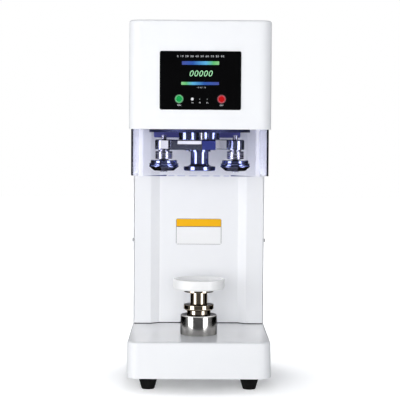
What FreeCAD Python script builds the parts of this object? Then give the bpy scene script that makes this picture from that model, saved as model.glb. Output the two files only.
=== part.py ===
import FreeCAD, Part
import math
import os
import re
import Sketcher

# Bench-top can seamer. Millimetres, +X right, +Y back, +Z up.
# The origin lies on the floor, under the middle of the machine.

doc = FreeCAD.newDocument("CanSeamer")
sheet = doc.addObject("Spreadsheet::Sheet", "Sizes")
size_names = []
nodes = []


def size(name, number, meaning):
    """Write one driving size into the sheet."""
    row = len(size_names) + 1
    sheet.set(f"A{row}", meaning)
    sheet.set(f"B{row}", str(number))
    sheet.setAlias(f"B{row}", name)
    size_names.append(name)


# Whole machine
size("body_width", 240, "width of head, column and base top")
size("body_depth", 300, "depth of head and base top")
size("foot_height", 23.7, "floor to base plate")
size("base_height", 61.7, "base cover, bottom to top")
size("bay_height", 359.9, "base top to the underside of the head")
size("head_height", 182.3, "head housing, bottom to top")
size("base_overhang", 2, "top of the base cover beyond the body on each side")
size("base_flare", 1, "draft of the base cover on each side")
size("corner_radius", 22, "front upright corners of head and base")
size("rear_corner_radius", 5, "rear upright corners of head and base")
size("top_edge_radius", 4, "rounded top edges")
size("plinth_height", 16, "flat block of the base cover under the column")
size("housing_wall", 2.5, "moulded wall of head and base")
size("axis_forward", 53, "seaming axis in front of the middle")
size("face_gap", 0.3, "gap between faces that only rest or pass")
size("press_gap", 0.02, "radial room of a pressed or clamped fit")
size("running_gap", 0.05, "radial room of a running or sliding fit")
size("screw_room", 0.2, "radial room of a screw in its hole")

# Base, feet and column
size("foot_top_radius", 16.5, "rubber foot under the base plate")
size("foot_floor_radius", 11, "rubber foot on the floor")
size("foot_inset_side", 33, "foot axis from the side of the body")
size("foot_inset_front", 38, "foot axis from the front and the back")
size("foot_screw_radius", 2.5, "screw through each foot")
size("foot_screw_head_radius", 4.25, "screw through each foot")
size("foot_screw_head_height", 3, "screw through each foot")
size("foot_screw_reach", 18, "foot screw above the base plate")
size("foot_boss_radius", 7, "boss of the base cover over each foot")
size("plate_thickness", 3, "base plate")
size("plate_room", 0.6, "base plate inside the base cover")
size("column_front", 62, "front of the column behind the middle")
size("panel_outer_half", 88, "half width where the front panel turns in")
size("panel_inner_half", 72.5, "half width of the recessed middle")
size("panel_recess", 11, "depth of the recessed middle")
size("panel_edge_gap", 1.5, "panel edge inside the body side")
size("panel_return", 20, "depth of the panel's side flanges")
size("sheet_thickness", 1.5, "front panel and rear cover sheet")
size("shell_thickness", 1.2, "side panel sheet")
size("shell_gap", 0.8, "side panel to front panel flange")
size("shell_back", 3.8, "side panel in front of the back of the body")
size("shell_flange", 16, "rear flange of a side panel")
size("rear_recess", 2, "rear cover in front of the back of the body")
size("rear_cover_inset", 2, "rear cover edge inside the body side")
size("rear_cover_margin", 4, "rear cover below the head and above the base")
size("rear_screw_inset", 10, "end screws inside the rear cover")
size("louvre_width", 90, "louvre slot")
size("louvre_height", 4, "louvre slot")
size("louvre_step", 11, "louvre spacing")
size("louvre_count", 8, "louvres in the rear cover")
size("cover_screw_radius", 1.9, "shank of a cover screw")
size("cover_screw_length", 6, "shank of a cover screw")
size("cover_head_radius", 3.5, "button head of a cover screw")
size("cover_head_height", 1.8, "button head of a cover screw")
size("side_screw_rise", 155.1, "side screws above the base top")
size("side_screw_back", 8, "side screws behind the column front")
size("upright_outer_half", 111, "outer face of the frame uprights")
size("upright_width", 15, "flange of an upright")
size("upright_front", 78, "front of the uprights")
size("upright_depth", 62, "depth of an upright")
size("upright_sheet", 3, "upright sheet")
size("upright_foot_thickness", 4, "foot of an upright")
size("column_opening_room", 1.5, "base cover around the uprights")
size("boss_room", 4, "cable opening beside the rear bosses")
size("web_thickness", 2, "mounting web between the uprights")
size("web_set_back", 12, "web behind the upright front")
size("web_bottom_rise", 35, "web above the base top")
size("web_height", 350, "web height")
size("cable_hole_radius", 16, "cable hole in the web")
size("cable_hole_drop", 40, "cable hole below the top of the web")

# Electrics
size("supply_width", 100, "power supply")
size("supply_depth", 38, "power supply")
size("supply_height", 130, "power supply")
size("supply_rise", 125, "power supply above the base top")
size("board_width", 90, "control board")
size("board_height", 100, "control board")
size("board_thickness", 1.6, "control board and panel board")
size("board_spacer", 6, "spacer length of the control board")
size("board_rise", 45, "control board above the base top")
size("spacer_inset", 5, "spacers inside the control board's edge")
size("relay_count", 4, "relays on the control board")
size("relay_side", 38, "first relay beside the middle")
size("relay_step", 20, "relay spacing")
size("relay_width", 15, "relay")
size("relay_depth", 5, "relay")
size("relay_height", 19, "relay")
size("relay_rise", 62, "relays above the board's lower edge")
size("inlet_offset", 45, "power inlet from the middle")
size("socket_rise", 40, "power inlet and switch above the base top")
size("inlet_body_width", 27.5, "power inlet body")
size("inlet_body_height", 20, "power inlet body")
size("inlet_body_depth", 22, "power inlet body")
size("inlet_cavity_width", 24, "power inlet socket")
size("inlet_cavity_height", 16.4, "power inlet socket")
size("inlet_cavity_depth", 16, "power inlet socket")
size("inlet_flange", 2.2, "power inlet flange")
size("inlet_pin_length", 11, "power inlet pin")
size("inlet_pin_width", 2, "power inlet pin")
size("inlet_pin_height", 4, "power inlet pin")
size("inlet_pin_side", 7, "outer pins beside the middle pin")
size("inlet_pin_drop", 2, "outer pins below the middle of the inlet")
size("inlet_earth_rise", 2.5, "middle pin above the middle of the inlet")
size("switch_offset", 12, "rocker switch from the middle")
size("rocker_width", 11, "rocker")
size("rocker_half_length", 7, "rocker from its pivot to each end")
size("rocker_face", 7, "rocker ends in front of the pivot")
size("rocker_dip", 1.6, "hollow of the rocker's face")
size("rocker_tilt", 10, "rocker leans this far each way")
size("rocker_pivot_depth", 5, "rocker pivot inside the rear cover face")
size("switch_room", 0.4, "rocker to its housing")
size("switch_wall", 1, "rocker housing wall")
size("switch_flange", 2, "rocker housing flange")
size("switch_flange_proud", 1.5, "rocker housing flange beyond the housing")
size("switch_depth", 20, "rocker housing behind the rear cover face")
size("switch_cavity", 8, "room behind the rocker's pivot")
size("rocker_back", 1, "rocker behind its pivot")

# Head housing, guard and panel
size("guard_thickness", 3, "clear guard")
size("guard_gap", 0.5, "guard to the parts on either side")
size("guard_corner_radius", 30, "bends of the guard, outside")
size("guard_drop", 78.8, "guard below the head")
size("guard_rise", 12.5, "guard inside the head")
size("guard_rear_gap", 0.3, "guard to the column")
size("guard_screw_front", 95, "front side screws of the guard, before the middle")
size("guard_screw_back", 5, "rear side screws of the guard, behind the middle")
size("guard_screw_across", 70, "front screws of the guard from the middle")
size("rim_height", 10, "rim of the head's bottom plate")
size("bottom_plate_thickness", 2, "head's bottom plate")
size("bottom_plate_back", 74, "rear edge of the bottom plate")
size("disc_hole_gap", 2, "bottom plate hole around the carrier disc")
size("panel_width", 136, "black control panel")
size("panel_height", 97.7, "black control panel")
size("panel_rise", 32.5, "control panel above the head's underside")
size("panel_thickness", 1.5, "black control panel")
size("panel_corner", 3, "control panel corner radius")
size("window_margin", 8, "housing window behind the panel's edge")
size("display_width", 92, "display module")
size("display_height", 58, "display module")
size("display_depth", 6.5, "display module")
size("display_rise", 62.7, "display module above the head's underside")
size("panel_board_depth", 15, "panel board behind the head's front")
size("panel_board_spacer", 2.5, "spacer radius of the boards")
size("panel_board_margin", 2, "panel board beyond the panel, above and below")
size("button_spread", 35.5, "buttons from the middle")
size("button_rise", 50.5, "buttons above the head's underside")
size("button_radius", 5, "push button cap")
size("button_proud", 2.9, "push button cap in front of the head")
size("button_length", 6.3, "push button cap")
size("button_travel", 1.5, "push button travel")
size("button_room", 0.4, "cap to its ring")
size("ring_radius", 7.5, "push button ring")
size("ring_proud", 2.4, "push button ring in front of the head")
size("ring_length", 5.4, "push button ring")
size("button_switch_radius", 6.5, "switch behind a push button")
size("vent_count", 7, "vent slots in the back of the head")
size("vent_width", 90, "vent slot")
size("vent_height", 3, "vent slot")
size("vent_step", 9, "vent spacing")
size("vent_rise", 95, "lowest vent above the head's underside")

# Seaming head
size("chuck_drop", 72.4, "chuck underside below the head's underside")
size("chuck_radius", 27.65, "chuck lip")
size("chuck_lip_height", 7.5, "chuck lip")
size("chuck_bevel", 1.6, "bevel under the chuck lip")
size("chuck_shoulder", 1, "slope on top of the chuck lip")
size("chuck_flare_radius", 20.7, "foot of the chuck's flare")
size("chuck_recess_radius", 18, "recess under the chuck")
size("chuck_recess_depth", 2, "recess under the chuck")
size("chuck_neck_radius", 15.7, "chuck neck")
size("chuck_flare_height", 4.9, "chuck between lip and neck")
size("chuck_neck_height", 20.9, "chuck neck")
size("chuck_flange_radius", 19.2, "chuck top flange")
size("chuck_flange_height", 3.6, "chuck top flange")
size("chuck_shaft_radius", 8, "fixed shaft that holds the chuck")
size("roller_spread", 62.4, "roller axis from the seaming axis")
size("roller_radius", 26.2, "seaming roller rim")
size("roller_body_radius", 23, "seaming roller above the rim")
size("roller_nose_radius", 17.5, "seaming roller underside")
size("roller_height", 18.6, "seaming roller")
size("roller_rim_height", 4.2, "seaming roller rim")
size("roller_rim_rise", 8, "rim above the roller's underside")
size("roller_nose_height", 2.2, "bevel under the roller rim")
size("roller_bevel", 1.2, "bevels of the roller")
size("roller_groove_depth", 1.2, "seaming groove in the rim")
size("roller_pin_radius", 5, "roller pin in the roller")
size("pin_head_radius", 6, "roller pin head")
size("pin_head_height", 1.7, "roller pin head")
size("pin_neck_radius", 8, "roller pin above the roller")
size("pin_neck_height", 1.6, "roller pin above the roller")
size("collar_radius", 14.7, "collar on the roller pin")
size("collar_height", 13.5, "collar on the roller pin")
size("pin_shoulder_radius", 10, "roller pin under the lever")
size("pin_stem_radius", 6, "roller pin in the lever")
size("pin_stub_radius", 4.5, "roller pin above the lever")
size("pin_stub_height", 8.1, "roller pin above the lever")
size("lever_over_chuck", 0.1, "lever above the chuck's top")
size("lever_height", 17.3, "seaming lever")
size("lever_width", 20, "seaming lever bar")
size("lever_boss_radius", 15.5, "lever boss around the roller pin")
size("lever_elbow", 50, "lever elbow from the seaming axis")
size("lever_link_half", 10, "half width of the lever's link")
size("lever_link_foot", 14, "width of the link where it leaves the bar")
size("lever_tail", 27, "lever tail past the seaming axis")
size("lever_slit_width", 2, "clamp slit in the lever tail")
size("lever_slit_start", 4, "slit start past the seaming axis")
size("lever_hub_radius", 14, "lever hub around its pivot")
size("pivot_side", 18.6, "lever pivot beside the seaming axis")
size("pivot_front", 45, "lever pivot in front of the seaming axis")
size("pivot_radius", 7, "lever pivot shaft")
size("post_radius", 17.5, "pivot post")
size("post_height", 12.5, "pivot post")
size("disc_radius", 88, "carrier disc")
size("disc_thickness", 8, "carrier disc")
size("disc_hole_radius", 6, "balance holes in the carrier disc")
size("disc_hole_side", 54.5, "balance holes beside the seaming axis")
size("disc_hole_spread", 39.6, "half the spacing of two balance holes")
size("disc_hole_shift", 4, "balance holes off the middle")
size("hub_radius", 20, "spindle spigot in the carrier disc")
size("spindle_flange_radius", 30, "spindle flange on the carrier disc")
size("spindle_flange_height", 4, "spindle flange on the carrier disc")
size("spindle_radius", 15, "spindle in the shift sleeve")
size("spindle_bore_radius", 9, "bore through the spindle")
size("spring_room", 8, "carrier disc to crank arm")
size("spring_coil_radius", 9.5, "return spring coil")
size("spring_wire_radius", 0.9, "return spring wire")
size("spring_step", 2.1, "return spring coil spacing")
size("spring_turns", 3, "return spring turns, as closed rings")
size("crank_height", 8, "crank arm")
size("crank_root_half", 10, "half width of the crank at its shaft")
size("crank_tip_half", 6.5, "half width of the crank at its follower")
size("crank_shaft_stub", 3, "pivot shaft above the crank arm")
size("follower_side", 20, "cam follower beside the seaming axis")
size("follower_front", 22, "cam follower in front of the seaming axis")
size("follower_radius", 8, "cam follower")
size("follower_height", 12, "cam follower")
size("follower_neck_radius", 4, "neck under the cam follower")
size("follower_neck_height", 1, "neck under the cam follower")
size("cone_angle", 40, "shift cone, from its axis")
size("cone_gap", 0.3, "cam follower to the shift cone")
size("sleeve_foot_wall", 2.3, "shift sleeve wall at its foot")
size("sleeve_radius", 34, "shift sleeve rim")
size("sleeve_lower_rim", 2, "rim under the fork groove")
size("sleeve_upper_rim", 3, "rim over the fork groove")
size("groove_radius", 27, "bottom of the fork groove")
size("groove_height", 6, "fork groove")
size("shift_travel", 8.3, "travel of fork and sleeve")
size("fork_gap", 0.4, "fork to the bottom of its groove")
size("fork_radius", 40, "outside of the fork")
size("fork_arm_half", 8, "half width of the fork arm")
size("fork_opening", 6, "fork opening starts before the axis")
size("fork_reach", 103, "fork rod behind the seaming axis")
size("rod_radius", 4, "fork rod")
size("fork_overlap", 4, "fork arm behind the groove")
size("rod_room", 6, "room under the fork rod when the fork is down")
size("actuator_width", 44, "shift actuator")
size("actuator_depth", 22, "shift actuator")
size("actuator_height", 27, "shift actuator")
size("actuator_floor", 1, "floor under the bore for the fork rod")
size("actuator_motor_radius", 10, "shift actuator motor")
size("actuator_motor_length", 30, "shift actuator motor")
size("stack_gap", 2, "sleeve to spindle pulley")

# Spindle drive
size("spindle_pulley_radius", 43, "spindle pulley")
size("motor_pulley_radius", 18, "motor pulley")
size("pulley_height", 14, "drive pulleys")
size("pulley_flange", 1.2, "pulley flange thickness")
size("pulley_flange_proud", 3, "pulley flange beyond the pulley")
size("belt_gap", 0.3, "belt to the pulleys")
size("belt_thickness", 2.4, "drive belt")
size("pulley_seat_radius", 14, "spindle in its pulley")
size("pulley_to_plate", 5, "pulley to the head plate")
size("head_plate_thickness", 8, "head plate")
size("head_plate_half", 110, "half width of the head plate")
size("head_plate_front", 120, "head plate in front of the middle")
size("head_plate_hole", 16.5, "head plate hole around the spindle")
size("motor_hole_room", 3, "head plate hole around the motor shaft")
size("pillar_radius", 5, "pillar between head plate and bottom plate")
size("pillar_side", 104, "pillars from the middle")
size("pillar_front", 110, "front pillars in front of the middle")
size("pillar_back", 50, "rear pillars behind the middle")
size("bearing_radius", 26, "spindle bearing outside")
size("bearing_width", 15, "spindle bearing")
size("bearing_seat_radius", 12.5, "spindle in its bearings")
size("bearing_split", 16.7, "between inner and outer ring")
size("ring_gap", 0.4, "inner ring to outer ring")
size("bearing_lip", 3, "housing lip under the lower bearing")
size("bearing_spread", 10, "between the two bearings")
size("bearing_housing_radius", 34, "bearing housing")
size("bearing_flange_radius", 40, "bearing housing flange")
size("bearing_flange_height", 8, "bearing housing flange")
size("bearing_web_radius", 22, "housing bore between the bearings")
size("bearing_cover", 1, "housing above the upper bearing")
size("spindle_nut_radius", 18, "lock nut on the spindle")
size("spindle_nut_height", 8, "lock nut on the spindle")
size("bridge_rise", 62, "chuck bridge above the head plate")
size("bridge_thickness", 10, "chuck bridge")
size("bridge_half", 62, "half length of the chuck bridge")
size("bridge_width", 34, "chuck bridge")
size("bridge_leg_radius", 8, "chuck bridge leg")
size("bridge_leg_side", 52, "chuck bridge legs from the middle")
size("shaft_nut_radius", 13, "nut on the chuck shaft")
size("shaft_nut_height", 8, "nut on the chuck shaft")
size("motor_back", 88, "main motor axis behind the middle")
size("motor_radius", 38, "main motor")
size("motor_height", 80, "main motor")
size("motor_foot_half", 40, "half width of the motor foot")
size("motor_foot_height", 5, "motor foot")
size("motor_cap_radius", 30, "motor end cap")
size("motor_cap_height", 4, "motor end cap")
size("motor_shaft_radius", 5, "main motor shaft")
size("motor_shaft_depth", 18, "main motor shaft inside the motor")

# Lift
size("guide_radius", 32.2, "steel cylinder on the base")
size("guide_rise", 34.6, "steel cylinder above the base top")
size("guide_bevel", 1.8, "bevel at the top of the cylinder")
size("guide_lower_radius", 28, "cylinder inside the base")
size("guide_hole_gap", 0.4, "base cover hole around the cylinder")
size("ram_radius", 20.7, "lift ram")
size("ram_rise", 8, "lift ram above the steel cylinder")
size("ram_bore_radius", 7.5, "ram bore around the lift screw")
size("nut_radius", 12, "lift nut")
size("nut_height", 10, "lift nut")
size("lift_travel", 31, "lift travel")
size("ring_outer_radius", 26.2, "lock ring")
size("lock_ring_height", 9.7, "lock ring")
size("lock_ring_bevel", 2.4, "bevel under the lock ring")
size("stem_radius", 14.8, "height stem")
size("stem_rise", 22.3, "height stem above the lock ring")
size("stem_depth", 25.5, "height stem inside the ram")
size("stem_bore_room", 0.5, "ram bore below the stem")
size("stem_flange_radius", 26.15, "flange under the tray")
size("stem_flange_height", 5, "flange under the tray")
size("tray_radius", 45.45, "can tray")
size("tray_foot_radius", 42.5, "can tray underside")
size("tray_height", 17.7, "can tray")
size("tray_bevel_height", 3, "bevel under the can tray")
size("tray_recess_radius", 41.5, "recess that holds the can")
size("tray_recess_depth", 8, "recess that holds the can")
size("screw_radius", 6, "lift screw")
size("screw_end_room", 2, "lift screw above the nut when the ram is up")
size("stand_top_rise", 29.3, "lift stand above the floor of the base")
size("stand_thickness", 6, "lift stand plate")
size("stand_half_width", 42, "half width of the lift stand")
size("stand_half_depth", 32, "half depth of the lift stand")
size("stand_hole_room", 2, "stand hole around the lift screw")
size("stand_pillar_radius", 5, "lift stand pillar")
size("stand_pillar_inset", 6, "pillar axis inside the stand edge")
size("screw_block_half", 22, "half width of the screw bearing block")
size("screw_block_height", 10, "screw bearing block")
size("screw_block_floor", 1, "floor under the screw's journal")
size("screw_pulley_radius", 18, "pulley on the lift screw")
size("lift_pulley_radius", 12, "pulley on the lift motor")
size("lift_pulley_height", 8, "lift pulleys")
size("lift_flange_proud", 2.6, "lift pulley flange beyond the pulley")
size("lift_motor_back", 12, "lift motor axis behind the middle")
size("lift_motor_radius", 18.5, "lift motor")
size("lift_motor_height", 31, "lift motor")
size("lift_motor_plate_half", 25, "half width of the lift motor plate")
size("lift_motor_plate", 2.3, "lift motor plate")
size("lift_plate_room", 2, "lift pulley to the motor plate")
size("lift_belt_thickness", 1.7, "lift belt")
size("lift_motor_leg_radius", 3, "lift motor leg")
size("lift_motor_leg_inset", 4, "leg axis inside the plate edge")
size("lift_shaft_radius", 3, "lift motor shaft")
size("lift_shaft_depth", 12, "lift motor shaft inside the motor")
doc.recompute()

# Places worked out from the sizes
base_top = "(foot_height + base_height)"
base_floor = "(foot_height + plate_thickness)"
head_bottom = f"({base_top} + bay_height)"
head_top = f"({head_bottom} + head_height)"
half_width = "(body_width / 2)"
half_depth = "(body_depth / 2)"
axis_y = "(-axis_forward)"
inner_half = f"({half_width} - housing_wall)"
inner_front = f"({half_depth} - housing_wall)"
guard_half = f"({inner_half} - guard_gap)"
guard_front = f"({inner_front} - guard_gap)"
chuck_bottom = f"({head_bottom} - chuck_drop)"
chuck_neck_bottom = f"({chuck_bottom} + chuck_lip_height + chuck_flare_height)"
chuck_top = f"({chuck_neck_bottom} + chuck_neck_height + chuck_flange_height)"
lever_bottom = f"({chuck_top} + lever_over_chuck)"
lever_top = f"({lever_bottom} + lever_height)"
disc_bottom = f"({lever_top} + face_gap + post_height)"
disc_top = f"({disc_bottom} + disc_thickness)"
crank_bottom = f"({disc_top} + spring_room)"
crank_top = f"({crank_bottom} + crank_height)"
follower_bottom = f"({crank_top} + follower_neck_height)"
follower_middle = f"({follower_bottom} + follower_height / 2)"
follower_orbit = "sqrt(follower_side ^ 2 + follower_front ^ 2)"
cone_at_follower = f"({follower_orbit} - (follower_radius + cone_gap) / cos(cone_angle))"
sleeve_bore = "(spindle_radius + running_gap)"
sleeve_foot_radius = f"({sleeve_bore} + sleeve_foot_wall)"
sleeve_foot = f"({follower_middle} - ({cone_at_follower} - {sleeve_foot_radius}) / tan(cone_angle))"
cone_top = f"({follower_middle} + (sleeve_radius - {cone_at_follower}) / tan(cone_angle))"
groove_bottom = f"({cone_top} + sleeve_lower_rim)"
groove_top = f"({groove_bottom} + groove_height)"
sleeve_top = f"({groove_top} + sleeve_upper_rim)"
pulley_bottom = f"({sleeve_top} + stack_gap)"
pulley_top = f"({pulley_bottom} + pulley_height)"
head_plate_bottom = f"({pulley_top} + pulley_to_plate)"
head_plate_top = f"({head_plate_bottom} + head_plate_thickness)"
lower_bearing = f"({head_plate_top} + bearing_lip)"
upper_bearing = f"({lower_bearing} + bearing_width + bearing_spread)"
bearings_top = f"({upper_bearing} + bearing_width)"
bridge_bottom = f"({head_plate_top} + bridge_rise)"
bridge_top = f"({bridge_bottom} + bridge_thickness)"
guide_top = f"({base_top} + guide_rise)"
stand_top = f"({base_floor} + stand_top_rise)"
ram_bottom = f"({stand_top} + face_gap)"
nut_top = f"({ram_bottom} + nut_height)"
ram_top = f"({guide_top} + ram_rise)"
lock_ring_top = f"({ram_top} + lock_ring_height)"
stem_top = f"({lock_ring_top} + stem_rise + stem_flange_height)"
screw_block_top = f"({base_floor} + screw_block_height)"
lift_pulley_bottom = f"({screw_block_top} + face_gap)"
lift_pulley_top = f"({lift_pulley_bottom} + lift_pulley_height)"
rear_face = f"({half_depth} - rear_recess)"
rear_inside = f"({rear_face} - sheet_thickness)"
socket_height = f"({base_top} + socket_rise)"
button_height = f"({head_bottom} + button_rise)"
panel_bottom = f"({head_bottom} + panel_rise)"
panel_board_front = f"(-{half_depth} + panel_board_depth)"
sheet_bottom = f"({base_top} + face_gap)"
sheet_height = "(bay_height - 2 * face_gap)"

DIRECTIONS = {
    "X": FreeCAD.Rotation(FreeCAD.Vector(0, 1, 0), 90),
    "Y": FreeCAD.Rotation(FreeCAD.Vector(1, 0, 0), -90),
    "Z": FreeCAD.Rotation(),
}


def from_sheet(formula):
    """Point every size name of a formula at its cell."""
    def cell(word):
        return f"Sizes.{word.group()}" if word.group() in size_names else word.group()
    return re.sub(r"[a-z][a-z_]+", cell, str(formula))


def bind(thing, setting, formula):
    thing.setExpression(setting, from_sheet(formula))


def place(thing, x=0, y=0, z=0):
    for letter, formula in zip("xyz", (x, y, z)):
        bind(thing, f"Placement.Base.{letter}", formula)
    return thing


def box(name, x, y, z, length, width, height):
    """A block from its low corner."""
    piece = doc.addObject("Part::Box", name)
    bind(piece, "Length", length)
    bind(piece, "Width", width)
    bind(piece, "Height", height)
    return place(piece, x, y, z)


def rod(name, x, y, z, radius, height, along="Z"):
    """A cylinder from the middle of its low end."""
    piece = doc.addObject("Part::Cylinder", name)
    piece.Placement = FreeCAD.Placement(FreeCAD.Vector(), DIRECTIONS[along])
    bind(piece, "Radius", radius)
    bind(piece, "Height", height)
    return place(piece, x, y, z)


def outline(body, name, plane, corners):
    """A closed sketch of straight runs, each corner held by two sizes."""
    sketch = body.newObject("Sketcher::SketchObject", name)
    base = [item for item in body.Origin.OriginFeatures if item.Role == plane][0]
    sketch.AttachmentSupport = [(base, "")]
    sketch.MapMode = "FlatFace"
    count = len(corners)
    for number in range(count):
        here = 2 * math.pi * number / count
        there = 2 * math.pi * (number + 1) / count
        start = FreeCAD.Vector(50 + math.cos(here), 50 + math.sin(here), 0)
        end = FreeCAD.Vector(50 + math.cos(there), 50 + math.sin(there), 0)
        sketch.addGeometry(Part.LineSegment(start, end), False)
    for number in range(count):
        sketch.addConstraint(Sketcher.Constraint("Coincident", number, 2, (number + 1) % count, 1))
    for number, (across, up) in enumerate(corners):
        here = sketch.Geometry[number].StartPoint
        for letter, kind, start, formula in (
            ("a", "DistanceX", here.x, across),
            ("u", "DistanceY", here.y, up),
        ):
            held = sketch.addConstraint(Sketcher.Constraint(kind, -1, 1, number, 1, start))
            sketch.renameConstraint(held, f"{letter}{number}")
            bind(sketch, f"Constraints.{letter}{number}", formula)
    return sketch


def turned(name, profile, x=0, y=0):
    """A turned piece from its half profile of radius and height."""
    body = doc.addObject("PartDesign::Body", name)
    sketch = outline(body, f"{name}_profile", "XZ_Plane", profile)
    turn = body.newObject("PartDesign::Revolution", f"{name}_turn")
    turn.Profile = sketch
    turn.ReferenceAxis = (sketch, ["V_Axis"])
    turn.Angle = 360
    return place(body, x, y)


def padded(name, corners, height, x=0, y=0, z=0, plane="XY_Plane"):
    """A piece of one outline: up from z, or both ways along X or Y from its place."""
    body = doc.addObject("PartDesign::Body", name)
    sketch = outline(body, f"{name}_outline", plane, corners)
    pad = body.newObject("PartDesign::Pad", f"{name}_pad")
    pad.Profile = sketch
    bind(pad, "Length", height)
    if plane != "XY_Plane":
        pad.Midplane = True
    return place(body, x, y, z)


def rounded(body, name, radius, picked):
    """Round the picked edges of a body."""
    doc.recompute()
    edges = [f"Edge{number}" for number, edge in enumerate(body.Shape.Edges, 1) if picked(edge, body.Shape)]
    base = body.Tip
    fillet = body.newObject("PartDesign::Fillet", name)
    fillet.Base = (base, edges)
    bind(fillet, "Radius", radius)
    return body


def reach(thing, letter):
    """Lowest and highest corner of an edge or a shape along one axis."""
    places = [getattr(corner, letter) for corner in thing.Vertexes]
    return min(places), max(places)


def upright(edge, shape):
    """Edges that run from the bottom to the top."""
    low, high = reach(edge, "Z")
    bottom, top = reach(shape, "Z")
    return high - low > 0.9 * (top - bottom)


def upright_front(edge, shape):
    return upright(edge, shape) and reach(edge, "Y")[1] < sum(reach(shape, "Y")) / 2


def upright_rear(edge, shape):
    return upright(edge, shape) and not upright_front(edge, shape)


def top_edge(edge, shape):
    return reach(edge, "Z")[0] > reach(shape, "Z")[1] - 0.001


def lying(edge, shape):
    """Edges that run from the front to the back."""
    front, back = reach(edge, "Y")
    shape_front, shape_back = reach(shape, "Y")
    return back - front > 0.9 * (shape_back - shape_front)


def cornered(body, name, inset="0"):
    """Round the upright corners: wide in front, tight at the back."""
    rounded(body, f"{name}_front", f"corner_radius - {inset}", upright_front)
    return rounded(body, f"{name}_rear", f"rear_corner_radius - {inset}", upright_rear)


def drafted(name, low_half, low_end, high_half, high_end, height, z):
    """A block whose sides lean inwards from the bottom to the top."""
    body = doc.addObject("PartDesign::Body", name)
    wedge = body.newObject("PartDesign::AdditiveWedge", f"{name}_wedge")
    for setting, formula in (
        ("Xmin", f"-({low_half})"), ("Xmax", low_half), ("Zmin", f"-({low_end})"), ("Zmax", low_end),
        ("X2min", f"-({high_half})"), ("X2max", high_half), ("Z2min", f"-({high_end})"), ("Z2max", high_end),
        ("Ymin", "0"), ("Ymax", height),
    ):
        bind(wedge, setting, formula)
    body.Placement = FreeCAD.Placement(FreeCAD.Vector(), FreeCAD.Rotation(FreeCAD.Vector(1, 0, 0), 90))
    return place(body, 0, 0, z)


def rectangle(half_x, front, back):
    return [(f"-({half_x})", front), (half_x, front), (half_x, back), (f"-({half_x})", back)]


def fuse(name, *pieces):
    piece = doc.addObject("Part::MultiFuse", name)
    piece.Shapes = list(pieces)
    piece.Refine = True
    return piece


def cut(name, base, *tools):
    piece = doc.addObject("Part::Cut", name)
    piece.Base = base
    piece.Tool = tools[0] if len(tools) == 1 else fuse(f"{name}_tools", *tools)
    return piece


def group(name, pieces):
    """Loose solids of one kind, kept together."""
    piece = doc.addObject("Part::Compound", name)
    piece.Links = list(pieces)
    return piece


def node(name, piece):
    piece.Label = name
    nodes.append(piece)
    return piece


def flanged_pulley(name, axis_x, axis_y_place, bottom, height, radius, flange, proud, bore, extra=None):
    """A belt pulley with a flange at each end."""
    rim = f"({radius} + {proud})"
    top = f"({bottom} + {height})"
    profile = [
        (bore, bottom),
        (rim, bottom),
        (rim, f"{bottom} + {flange}"),
        (radius, f"{bottom} + {flange}"),
        (radius, f"{top} - {flange}"),
        (rim, f"{top} - {flange}"),
        (rim, top),
        (bore, top),
    ]
    return turned(name, extra(profile) if extra else profile, axis_x, axis_y_place)


def belt(name, front_y, front_radius, back_y, back_radius, bottom, height, thickness):
    """A closed belt around two pulleys that stand one behind the other."""
    spread = back_y - front_y
    loops = []
    for extra in (thickness, 0):
        near = front_radius + extra
        far = back_radius + extra
        lean = math.asin((near - far) / spread)
        across, along = math.cos(lean), math.sin(lean)
        near_side = FreeCAD.Vector(near * across, front_y + near * along, bottom)
        far_side = FreeCAD.Vector(far * across, back_y + far * along, bottom)
        near_other = FreeCAD.Vector(-near_side.x, near_side.y, bottom)
        far_other = FreeCAD.Vector(-far_side.x, far_side.y, bottom)
        front = FreeCAD.Vector(0, front_y - near, bottom)
        back = FreeCAD.Vector(0, back_y + far, bottom)
        wire = Part.Wire([
            Part.Arc(near_other, front, near_side).toShape(),
            Part.makeLine(near_side, far_side),
            Part.Arc(far_side, back, far_other).toShape(),
            Part.makeLine(far_other, near_other),
        ])
        loops.append(Part.Face(wire).extrude(FreeCAD.Vector(0, 0, height)))
    piece = doc.addObject("Part::Feature", name)
    piece.Shape = loops[0].cut(loops[1])
    return piece


foot_places = [
    (f"{side} * ({half_width} - foot_inset_side)", f"{end} * ({half_depth} - foot_inset_front)")
    for side in (-1, 1)
    for end in (-1, 1)
]

# Base cover: a moulded shell with drafted sides, open below.
# A plinth carries the column, and a boss over each foot takes its screw.
base_top_half = f"({half_width} + base_overhang)"
base_top_end = f"({half_depth} + base_overhang)"
base_half = f"({base_top_half} + base_flare)"
base_end = f"({base_top_end} + base_flare)"
outer = drafted("base_outer", base_half, base_end, base_top_half, base_top_end, "base_height", "foot_height")
cornered(outer, "base_outer_corners")
rounded(outer, "base_outer_top", "top_edge_radius", top_edge)
inner = drafted("base_inner", f"{base_half} - housing_wall", f"{base_end} - housing_wall",
                f"{base_top_half} - housing_wall", f"{base_top_end} - housing_wall",
                "base_height - housing_wall", "foot_height")
cornered(inner, "base_inner_corners", "housing_wall")
plinth = padded("base_plinth", rectangle(f"{half_width} + face_gap", "column_front", half_depth),
                "plinth_height", z=f"{base_top} - plinth_height")
rounded(plinth, "base_plinth_corners", "rear_corner_radius", upright_rear)
rounded_shell = fuse("base_shell", cut("base_hollow", outer, inner), plinth)
bosses = [rod(f"base_boss_{number}", x, y, base_floor, "foot_boss_radius",
              f"{base_top} - housing_wall / 2 - {base_floor}")
          for number, (x, y) in enumerate(foot_places)]
boss_holes = [rod(f"base_boss_hole_{number}", x, y, base_floor, "foot_screw_radius + press_gap",
                  "foot_screw_reach + 2")
              for number, (x, y) in enumerate(foot_places)]
boss_side = f"({half_width} - foot_inset_side - foot_boss_radius)"
upright_slot = "(upright_width + 2 * column_opening_room)"
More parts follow.
